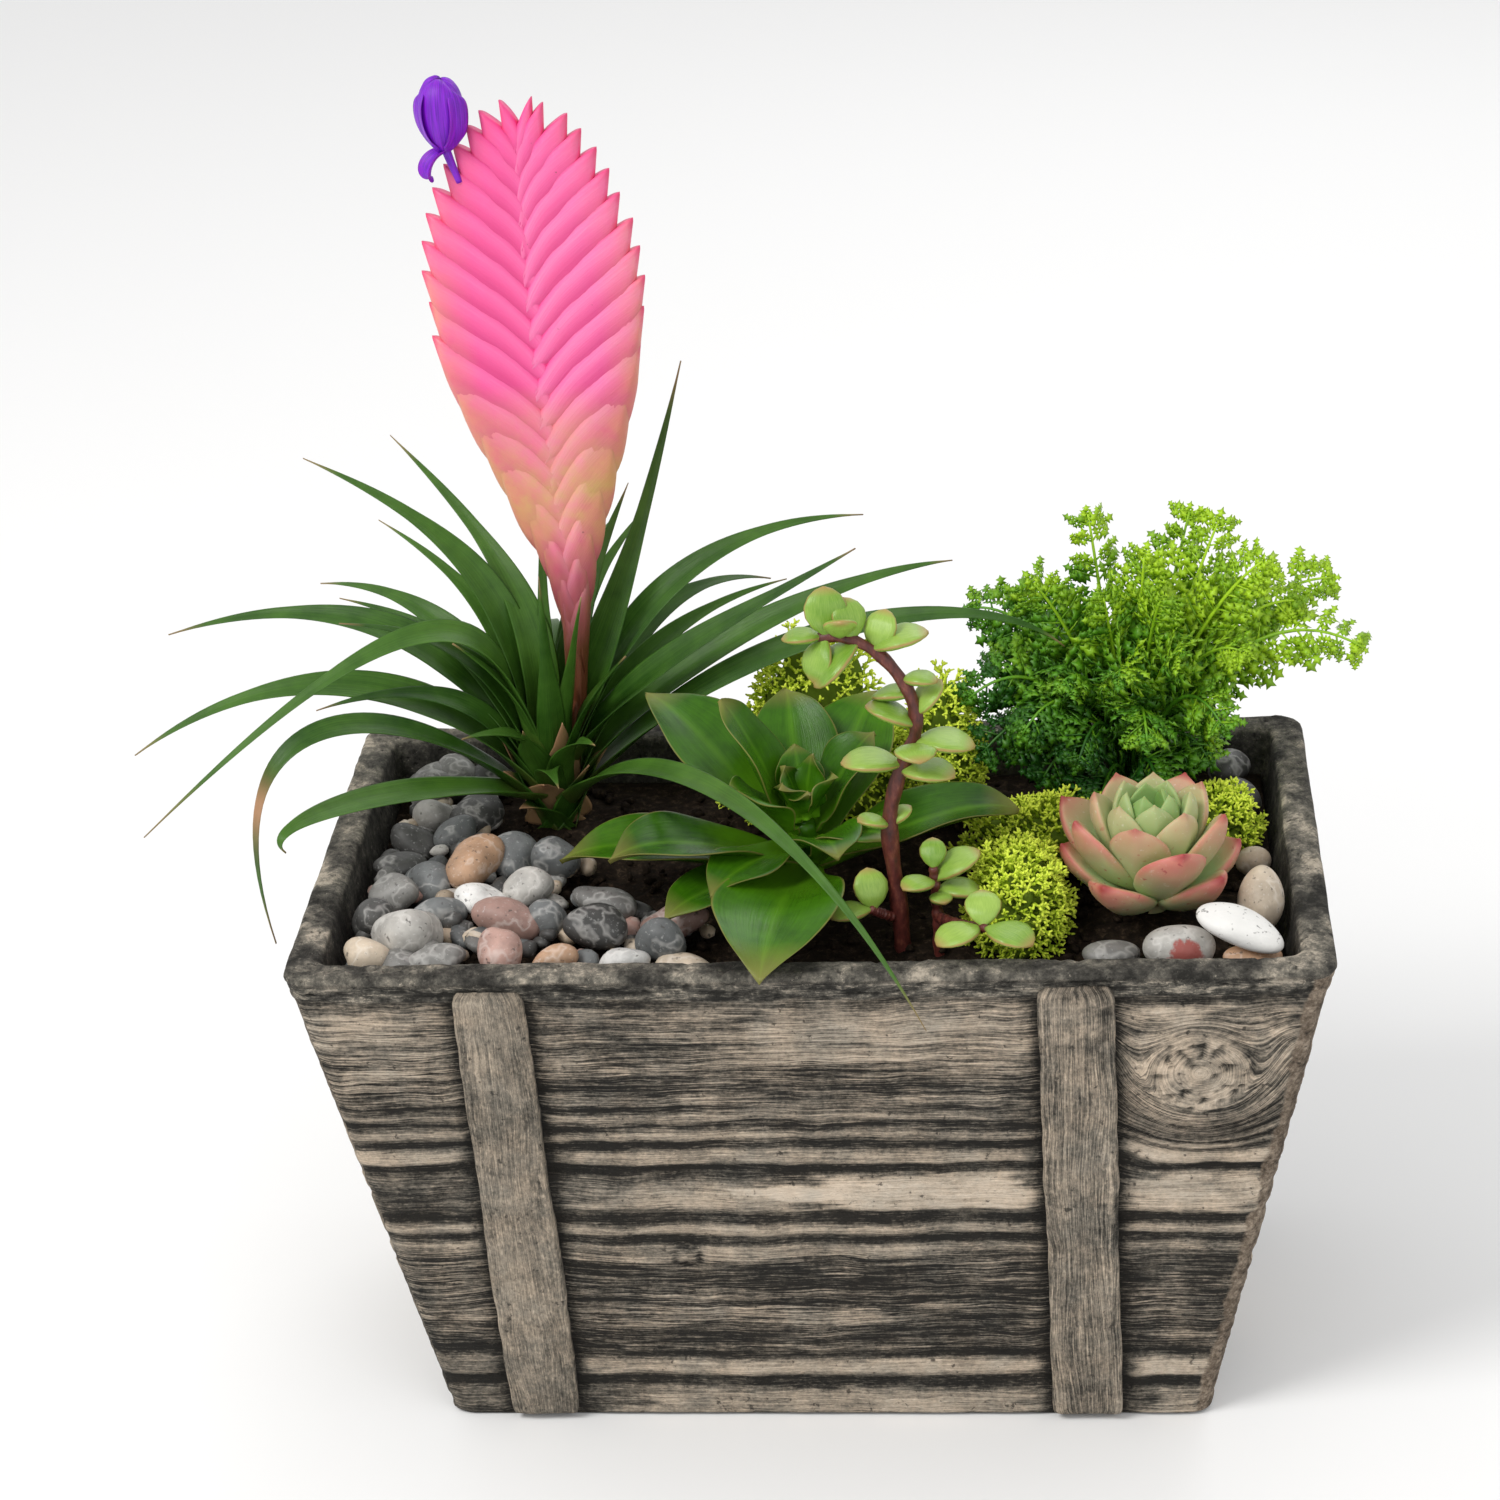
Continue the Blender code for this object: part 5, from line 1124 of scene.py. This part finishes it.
def buildEcheveria():
    # leaves set by the golden angle: the older the leaf, the lower it starts and the further it leans out;
    # each is a thick pointed boat with a faint keel below
    steps, around, main = 30, 24, echeveria["leaves"]
    azimuth = np.concatenate([np.arange(main) * 137.5 + 150, echeveria["between"]])
    count = len(azimuth)
    low = (np.arange(count) >= main)[:, None]
    age = np.where(low, 0.0, np.arange(count)[:, None] / (main - 1))
    foot, away = np.array(echeveria["foot"]), level(azimuth)
    lean = np.radians(np.where(low, 36 + 4 * np.sin(azimuth)[:, None], 42 + 44 * age**0.8))
    length = np.where(low, 27.0, 34 - 12 * age)
    root = foot + upward * (1 + 9.5 * age - 2.0 * low) + away * (3.6 - 2.0 * age)
    reach = (away * np.cos(lean) + upward * np.sin(lean)) * length
    over = upward * np.cos(lean) - away * np.sin(lean)
    bows = root + reach * 0.35 - over * 3.5, root + reach * 0.8 - over * 2.5
    route = bezier(root, *bows, root + reach, steps)
    along = np.linspace(0, 1, steps)[None]
    widths = (10.3 - 4.8 * age - 0.8 * low) * outlineAt(along, echeveria["outline"])
    thick = np.interp(along, [0, 0.3, 0.7, 0.92, 1], [3.6, 6.2, 5.6, 2.8, 0.4]) * (1 - 0.42 * age)
    rings, above = leafRings(route, np.cross(upward, away)[:, None], widths, thick, 0.26, around)
    turn = turnsOf(around)
    keel = -0.8 * bell(np.cos(turn) / 0.25) * (np.sin(turn) < 0) * np.sin(math.pi * along[..., None])
    rings = rings + above[:, :, None] * keel[..., None]
    parts = [leafPart(rings, np.random.default_rng(5).random(count), age=age[..., None]),
             stemPart(foot + np.outer((-17, 0, 13), upward), (4, 5, 2.5), 12, 12)]
    addPiece("echeveriaLeaves", parts, echeveriaFinish(), "blush_echeveria")


print("echeveria")
buildEcheveria()

# Jade bush
jade = {
    "stemBrown": (0.13, 0.028, 0.021),
    "leafGreen": (0.135, 0.29, 0.020),
    "leafPale": (0.37, 0.54, 0.10),
    "edge": (0.44, 0.23, 0.09),
}
# each stem: route, radii, and leaves as place along the stem, azimuth, lift, length
jadeStems = {
    "jade_main_stem": [
        ([(26, -38, 136), (25, -38, 160), (23, -38, 185), (26, -38, 201), (31, -38, 214), (30, -37, 225),
          (23, -36, 236), (14, -35, 241.5), (5, -34, 242)], (2.4, 1.3),
         [(0.40, 185, 4, 17), (0.45, -78, 8, 14), (0.39, -20, 2, 16), (0.53, 180, 24, 15), (0.47, -4, -4, 17),
          (0.56, 30, 46, 12), (0.68, -10, 0, 10), (0.62, 150, -12, 12), (0.80, 8, 14, 16), (0.78, 62, 60, 12),
          (0.86, 120, 62, 12), (0.84, 200, -42, 17), (0.92, -84, 46, 11), (0.97, 100, 76, 14),
          (0.98, 183, -2, 11), (0.97, 225, -66, 13), (0.26, 205, 20, 10), (0.25, 30, 30, 8)]),
        ([(25, -38, 156), (20, -42, 160), (17, -45, 163)], (1.4, 1.1),
         [(0.9, 195, -4, 12), (0.8, 110, 62, 12)]),
    ],
    "jade_side_stem": [
        ([(36, -41, 136), (36, -41, 155), (35.5, -41, 166), (35, -41, 174)], (1.7, 1.2),
         [(0.80, 218, 6, 11), (0.82, 20, 26, 15), (0.68, 5, -4, 13), (0.97, 92, 48, 9), (0.62, -70, 10, 8)]),
        ([(36, -41, 158), (42, -54, 163), (50, -66, 168)], (1.4, 1.1),
         [(0.95, 92, 30, 12), (0.9, 212, -6, 14), (0.98, -32, -4, 15)]),
    ],
}


def buildJade():
    # knobbly round stems with thick oval leaves, which set off at their lift and sag a little
    leafGreen = leafFinish("jadeLeaf", 0.30, jade["leafGreen"], jade["leafPale"], jade["edge"])
    wood = Finish("jadeWood", 0.42, (1, 1, 0.5))
    bark = wood.grain(500, 5, 0.65).ramp(
        (0.3, (0.05, 0.012, 0.010)), (0.55, jade["stemBrown"]), (0.75, (0.28, 0.10, 0.06)))
    barkBrown = wood.paint(bark, wood.grain(700), 0.5, 0.0006)
    t = np.linspace(0, 1, 18)
    oval = 0.43 * np.interp(t, [0, 0.06, 0.2, 0.42, 0.62, 0.82, 0.94, 1.0],
                            [0.16, 0.26, 0.66, 0.96, 1.0, 0.76, 0.42, 0.04])
    plump = np.interp(t, [0, 0.3, 0.7, 1.0], [1.4, 3.6, 3.3, 0.8])
    sag = 0.06 * np.sin(math.pi * t)[:, None]
    for node, stems in jadeStems.items():
        stemParts, leafParts = [], []
        for k, (route, radii, leaves) in enumerate(stems):
            line = spline(route, 60)
            share = np.linspace(0, 1, 60)
            radius = np.linspace(*radii, 60) * (1 + 0.10 * np.sin(share * 60 + k))
            radius = radius * (1 + 0.12 * np.abs(np.sin(share * 19)))
            stemParts.append(leafPart(tubeRings(line[None], radius[None], 14), 0.3 * k))
            place, azimuth, lift, length = np.array(leaves, float).T[:, :, None]
            foot, away = line[np.round(place[:, 0] * 59).astype(int)], level(azimuth[:, 0])
            lift, size = np.radians(lift), length[..., None]
            reach = (away * np.cos(lift) + upward * np.sin(lift))[:, None]
            over = (upward * np.cos(lift) - away * np.sin(lift))[:, None]
            routes = foot[:, None] + reach * (0.2 + size * t[:, None]) + over * size * sag
            side = np.cross(upward, away)[:, None]
            rings, _ = leafRings(routes, side, length * oval, plump * (0.6 + length / 30), 0.10, 16)
            leafParts.append(leafPart(rings, np.random.default_rng(40 + k).random(len(leaves))))
        addPiece(node + "_leaves", leafParts, leafGreen, node)
        addPiece(node + "_wood", stemParts, barkBrown, None)


print("jade bush")
buildJade()

# Lace fern
fern = {
    "foot": (92.0, 48.0, 152.0),
    "pairs": 10,  # side branches on each side of a frond
    "branch": 15.0,  # longest side branch in mm
    "leaflet": 7.2,  # longest leaflet in mm
    "deep": (0.014, 0.095, 0.005),
    "middle": (0.10, 0.31, 0.010),
    "bright": (0.42, 0.68, 0.016),
    "bark": (0.030, 0.020, 0.010),
}
# tip x, y, height, how far the middle bows up, height on the crown
fernFronds = np.array([
    (80, 54, 240, 4, 10), (64, 36, 226, 10, 9), (110, 64, 236, 4, 9), (130, 40, 230, 14, 8),
    (160, 40, 202, 30, 5), (152, 64, 214, 22, 6), (46, 60, 208, 20, 6), (44, 34, 190, 26, 2),
    (60, 18, 186, 26, 2), (118, 12, 190, 26, 2), (88, 14, 206, 20, 5), (96, 40, 232, 8, 11),
    (134, 66, 198, 26, 3), (76, 14, 178, 24, 1), (100, 30, 222, 10, 9), (118, 52, 238, 6, 8),
    (72, 24, 200, 18, 6), (106, 18, 212, 14, 7), (140, 48, 214, 20, 6), (52, 46, 194, 24, 4),
    (84, 34, 222, 8, 10), (60, 50, 216, 14, 7), (124, 30, 206, 20, 5), (96, 8, 188, 24, 3),
    (66, 26, 168, 18, 1), (82, 12, 164, 16, 0), (100, 16, 166, 16, 0), (114, 30, 172, 18, 0),
    (56, 40, 172, 20, 1), (48, 26, 176, 24, 2),
], float)
# a leaflet's lobed outline: along, across; then the points above and below its middle
leafletOutline = np.array([
    (0, 0), (0.13, 0.09), (0.26, 0.44), (0.44, 0.17), (0.64, 0.46), (0.76, 0.15), (1.04, 0), (0.76, -0.15),
    (0.64, -0.46), (0.44, -0.17), (0.26, -0.44), (0.13, -0.09), (0.45, 0), (0.45, 0),
])
# leaflets on a branch, four pairs and a tip: place along it, side, size
leafletPlaces = np.array([
    (0.22, 1, 0.85), (0.30, -1, 0.85), (0.46, 1, 1.0), (0.54, -1, 1.0), (0.70, 1, 0.85), (0.76, -1, 0.85),
    (0.9, 1, 0.6), (0.94, -1, 0.6), (1.0, 0, 0.9),
])


def buildFern():
    # fronds carry side branches, side branches carry lobed leaflets; every level is one array
    fronds, pairs = len(fernFronds), fern["pairs"]
    draw = np.random.default_rng(77)
    crown, tip = np.array(fern["foot"]), fernFronds[:, :3]
    foot = crown + unit((tip - crown) * [1, 1, 0]) * 2.5 + upward * fernFronds[:, 4:5]
    rise = upward * fernFronds[:, 3:4]
    route = bezier(foot, foot * 0.7 + tip * 0.3 + rise, foot * 0.35 + tip * 0.65 + rise, tip, 61)
    tangent = unit(np.gradient(route, axis=1))
    facing = np.array([0.0, -0.75, 0.66]) + draw.uniform(-0.35, 0.35, (fronds, 1, 3))
    side = unit(np.cross(tangent, facing))
    above = unit(np.cross(side, tangent))
    # side branches start at even places past the bare foot of the frond, left and right in turn
    share = np.repeat(np.linspace(0.24, 0.97, pairs), 2) + draw.uniform(-0.012, 0.012, (fronds, 2 * pairs))
    way = np.tile([1.0, -1.0], pairs)[:, None]
    spot = np.clip((share * 60).astype(int), 0, 60)
    here = np.arange(fronds)[:, None], spot
    root, ahead, aside, over = (line[here] for line in (route, tangent, side, above))
    taper = np.clip(1.22 - share, 0.2, 1) ** 0.65 * np.clip((share - 0.08) / 0.3, 0.3, 1)
    length = fern["branch"] * taper * draw.uniform(0.8, 1.1, share.shape)
    lean = draw.uniform(-0.5, 0.4, share.shape)[..., None]
    heading = unit(aside * way + ahead * 0.55 + over * lean)
    # the frond's own end counts as one more branch
    branchFoot, branchHeading, branchOver = (np.concatenate([some.reshape(-1, 3), last]) for some, last in (
        (root, route[:, 56]), (heading, tangent[:, 58]), (unit(over + aside * way * 0.3), above[:, 58])))
    branchLength = np.concatenate([length.ravel(), np.full(fronds, 5.0)])
    branchSide = unit(np.cross(branchHeading, branchOver))
    count = len(branchLength)

    def branchAt(t):
        # along each branch, which curls down by 0.22 of its length times t squared
        course = branchHeading[:, None] * t - branchOver[:, None] * t**2 * 0.22
        return branchFoot[:, None] + course * branchLength[:, None, None]

    places, ways, sizes = leafletPlaces.T[:, :, None]
    leafFoot = branchAt(places)
    leafHeading = unit(branchSide[:, None] * ways + branchHeading[:, None] * np.where(ways == 0, 1.0, 0.75)
                       + branchOver[:, None] * draw.uniform(-0.6, 0.5, (count, 9, 1)))
    leafLength = fern["leaflet"] * sizes[:, 0] * np.clip(branchLength / fern["branch"], 0.45, 1.0)[:, None]
    leafLength = (leafLength * draw.uniform(0.8, 1.15, (count, 9))).reshape(-1, 1, 1)
    leafOver = unit(branchOver[:, None] + draw.uniform(-0.45, 0.45, (count, 9, 3)))
    axes = np.stack([leafHeading, unit(np.cross(leafHeading, leafOver)), leafOver], 2).reshape(-1, 3, 3)
    along, across = leafletOutline.T
    lift = 0.22 * np.abs(across) - 0.26 * along**2 + np.array([0] * 12 + [0.045, -0.045])
    leafPoints = leafFoot.reshape(-1, 1, 3) + leafLength * (np.column_stack([along, across, lift]) @ axes)
    ring, following = np.arange(12), np.roll(np.arange(12), -1)
    shape = np.concatenate([np.stack([one, other, np.full(12, middle)], -1)
                            for one, other, middle in ((ring, following, 12), (following, ring, 13))])
    number = len(leafPoints)
    leafFaces = (shape + 14 * np.arange(number)[:, None, None]).reshape(-1, 3)
    leafNumbers = {"along": np.tile(along, number), "across": np.tile(across, number),
                   "seed": np.repeat(draw.random(count), 9 * 14)}
    # ribs of the fronds and of the side branches, and the short stump
    ribs = tubeRings(route[:, ::3], np.linspace(1.0, 0.35, 21)[None], 5)
    twigs = tubeRings(branchAt(np.linspace(0, 1, 4)[:, None]), np.linspace(0.38, 0.2, 4)[None], 3)
    points, faces, values = joined([
        (leafPoints.reshape(-1, 3) * mm, [leafFaces], leafNumbers),
        leafPart(ribs, draw.random(fronds)), leafPart(twigs, draw.random(count)),
        stemPart(crown + np.outer((-14, 2, 14), upward), (4.4, 4.2, 2.6), 10, 12, 0.2, bark=1.0)])
    # painted light: brighter towards the top and the right of the plant
    x, z = points[:, 0] / mm, points[:, 2] / mm
    values["light"] = np.clip((z - 170) / 70 * 0.7 + (x - 60) / 90 * 0.45, 0, 1)
    finish = Finish("fernLeaf", 0.45)
    tone = finish.value("light") + finish.value("seed").centred(0.45) + finish.grain(500).centred(0.5)
    green = tone.ramp((0.0, fern["deep"]), (0.35, fern["middle"]), (0.9, fern["bright"]))
    colour = mix(finish.value("bark"), green, fern["bark"])
    material = finish.paint(colour, finish.grain(900, 3), 0.2, 0.0004)
    addPiece("fernFronds", [(points, faces, values)], material, "lace_fern")


print("lace fern")
buildFern()

# Reindeer moss
moss = {
    "spacing": 3.9,  # mm between sprigs
    "trunk": 3.0,  # length of a sprig's first twig
    "twig": 2.4,
    "radius": 0.70,
    # colours from painted shade in the core to painted light at the sprig tips
    "core": (0.125, 0.195, 0.006),
    "deep": (0.32, 0.46, 0.012),
    "middle": (0.56, 0.74, 0.030),
    "lime": (0.78, 0.92, 0.080),
}
# clump: middle x, y, half sizes as in the CAD model
mossClumps = {
    "moss_back": (-2, 47, (26, 15, 42)),
    "moss_middle": (36, 40, (13, 13, 36)),
    "moss_front": (58.5, -31, (15, 21, 23)),
    "moss_right": (117, 20, (13, 14, 15)),
    "moss_strip": (70, 9, (29, 15, 17)),
}


def branchesOf(feet, headings, length, spread, draw):
    # from the end of each twig, three more fan out round its heading
    helper = unit(np.cross(headings, draw.normal(size=headings.shape)))
    other = np.cross(headings, helper)
    turn = turnsOf(3)[:, None] + draw.uniform(0, 6.28, (len(feet), 1, 1))
    ring = np.cos(turn) * helper[:, None] + np.sin(turn) * other[:, None]
    new = unit(headings[:, None] + ring * spread * draw.uniform(0.6, 1.2, (len(feet), 3, 1)))
    size = length * draw.uniform(0.7, 1.2, (len(feet), 3, 1))
    return np.repeat(feet, 3, axis=0), new.reshape(-1, 3), size.reshape(-1, 1)


def buildMoss(finish, node, x, y, sizes, seed):
    # a core in painted shade, set with sprigs on a golden-angle spiral; each sprig forks twice
    draw = np.random.default_rng(seed)

    def lumpsOf(way):
        # swellings of the clump, by direction from its middle
        wayX, wayY, wayZ = np.moveaxis(way, -1, 0)
        return 0.20 * np.sin(wayX * 8 + seed) * np.sin(wayY * 8 + 1) + 0.11 * np.sin(wayZ * 12 + seed)

    low, high = (np.array(corner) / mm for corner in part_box(node))
    sizes, floor = np.array(sizes, float), low[2] + 0.3
    centre = np.array([x, y, high[2] - sizes[2]])
    coreSizes = sizes - (moss["trunk"] + 1.7 * moss["twig"] - 1.0)
    power = 1.6  # the ellipsoid's area is about 4 pi times the power mean of the products of its half axes
    area = 4 * math.pi * (((sizes[[0, 0, 1]] * sizes[[1, 2, 2]]) ** power).sum() / 3) ** (1 / power)
    count = int(area * 0.66 / moss["spacing"] ** 2)
    k = np.arange(count)
    height = 1 - 1.42 * (k + 0.5) / count
    flat = np.sqrt(np.maximum(0, 1 - height**2))
    direction = np.stack([flat * np.cos(k * goldenTurn), flat * np.sin(k * goldenTurn), height], -1)
    foot = centre + direction * coreSizes * (1 + lumpsOf(direction))[:, None]
    foot, direction = foot[foot[:, 2] > floor], direction[foot[:, 2] > floor]
    heading = unit(direction / (sizes / sizes.max()) + draw.normal(scale=0.22, size=direction.shape))
    first = moss["trunk"] * draw.uniform(0.85, 1.2, (len(foot), 1))
    feet2, heads2, size2 = branchesOf(foot + heading * first, heading, moss["twig"], 0.85, draw)
    feet3, heads3, size3 = branchesOf(feet2 + heads2 * size2, heads2, moss["twig"] * 0.7, 1.0, draw)
    # painted light: brighter on the clump's swellings and on its top
    bright = 1.3 * lumpsOf(direction) + 0.30 * direction[:, 2]
    t = np.array([0.0, 0.55, 1.0])[:, None]
    parts = []
    for tier, (feet, heads, size, thick) in enumerate((
            (foot, heading, first, 1.0), (feet2, heads2, size2, 0.85), (feet3, heads3, size3, 0.72))):
        # tapering twigs of three rings, the last one nearly a point
        bend = draw.normal(scale=0.12, size=heads.shape) * size
        route = feet[:, None] + heads[:, None] * size[:, None] * t + bend[:, None] * np.sin(math.pi * t)
        rings = tubeRings(route, moss["radius"] * thick * np.array([[1.0, 0.9, 0.5]]), 3)
        # painted light: darker deep in the clump, lighter towards the twig tips
        light = tier / 3 + np.array([0.0, 0.15, 0.34])[:, None] + np.repeat(bright, 3**tier)[:, None, None]
        parts.append(leafPart(rings, draw.random(len(feet)), light=light))
    lat, lon = np.meshgrid(np.linspace(0.04, math.pi - 0.04, 26), turnsOf(36), indexing="ij")
    way = np.stack([np.sin(lat) * np.cos(lon), np.sin(lat) * np.sin(lon), np.cos(lat)], -1)
    crumb = 1.6 * (noise(lat * 12, lon * 7 * np.sin(lat), seed) - 0.5)
    core = (centre + way * (coreSizes * (1 + lumpsOf(way))[..., None] + crumb[..., None]))[None]
    core[..., 2] = np.maximum(core[..., 2], floor)
    # the core takes the lowest light value: painted shade
    addPiece(node + "_sprigs", parts + [leafPart(core, light=-0.2)], finish, node)


def mossFinish():
    # from the dark core to lime by the sprig's painted light, varied twig by twig and by a noise
    finish = Finish("reindeerMoss", 0.85)
    tone = finish.value("light") + finish.value("seed").centred(0.25) + finish.grain(120).centred(0.5)
    colour = tone.ramp((0.0, moss["core"]), (0.3, moss["deep"]), (0.62, moss["middle"]), (1.0, moss["lime"]))
    return finish.paint(colour, finish.grain(1500, 3), 0.3, 0.0003)


print("reindeer moss")
mossGreen = mossFinish()
for number, (node, (x, y, sizes)) in enumerate(mossClumps.items()):
    buildMoss(mossGreen, node, x, y, sizes, 60 + number)

# Floor, light, camera
studio = {
    "cameraAt": (0.068, -0.980, 0.6734),
    "yaw": 5.03,
    "pitch": 26.12,
    "roll": -3.0,
    "lens": 91.2,
    "floor": (0.93, 0.93, 0.93),
    "key": 15.5,
    "fill": 3.5,
    "sky": 0.74,
}


def placed(name, data, across, over, forward, position):
    # links an object at position that looks forward, its X axis along across and its Y axis along over
    holder = bpy.data.objects.new(name, data)
    bpy.context.scene.collection.objects.link(holder)
    rows = np.column_stack([across, over, -forward, position]).tolist()
    holder.matrix_world = Matrix(rows + [[0, 0, 0, 1]])
    return holder


def buildFloor():
    # a large square at height 0
    mesh = bpy.data.meshes.new("floor")
    mesh.from_pydata([(-6, -6, 0), (6, -6, 0), (6, 6, 0), (-6, 6, 0)], [], [(0, 1, 2, 3)])
    floor = bpy.data.objects.new("floor", mesh)
    bpy.context.scene.collection.objects.link(floor)
    mesh.materials.append(Finish("paleFloor", 0.9, Base_Color=(*studio["floor"], 1)).material)


def addLight(name, position, target, size, power, colour):
    # a round area light at position, turned to the target
    lamp = bpy.data.lights.new(name, "AREA")
    lamp.shape, lamp.size, lamp.energy, lamp.color = "DISK", size, power, colour
    forward = unit(np.array(target, float) - position)
    across = unit(np.cross(forward, upward))
    placed(name, lamp, across, np.cross(across, forward), forward, position)


def addCamera():
    # looks along yaw and pitch, then rolls about the line of sight
    yaw, pitch, roll = (math.radians(studio[k]) for k in ("yaw", "pitch", "roll"))
    forward = np.array([-math.sin(yaw) * math.cos(pitch), math.cos(yaw) * math.cos(pitch), -math.sin(pitch)])
    right = np.array([math.cos(yaw), math.sin(yaw), 0])
    up = np.cross(right, forward)
    right, up = math.cos(roll) * right + math.sin(roll) * up, math.cos(roll) * up - math.sin(roll) * right
    lens = bpy.data.cameras.new("camera")
    lens.lens, lens.sensor_width, lens.clip_start = studio["lens"], 36, 0.01
    bpy.context.scene.camera = placed("camera", lens, right, up, forward, studio["cameraAt"])


print("floor, light and camera")
buildFloor()
addLight("key", (-0.9, -0.75, 1.45), (0, 0, 0.15), 0.7, studio["key"], (1.0, 0.985, 0.96))
addLight("fill", (0.9, -1.3, 0.9), (0, 0, 0.15), 1.2, studio["fill"], (0.96, 0.98, 1.0))
addLight("back", (0.4, 1.2, 1.1), (0, 0, 0.2), 0.9, studio["fill"], (1, 1, 1))
world = bpy.data.worlds.new("studio")
bpy.context.scene.world = world
world.use_nodes = True
world.node_tree.nodes["Background"].inputs["Color"].default_value = (1, 1, 1, 1)
world.node_tree.nodes["Background"].inputs["Strength"].default_value = studio["sky"]
bpy.context.scene.view_settings.view_transform = "Standard"
addCamera()

print("done")
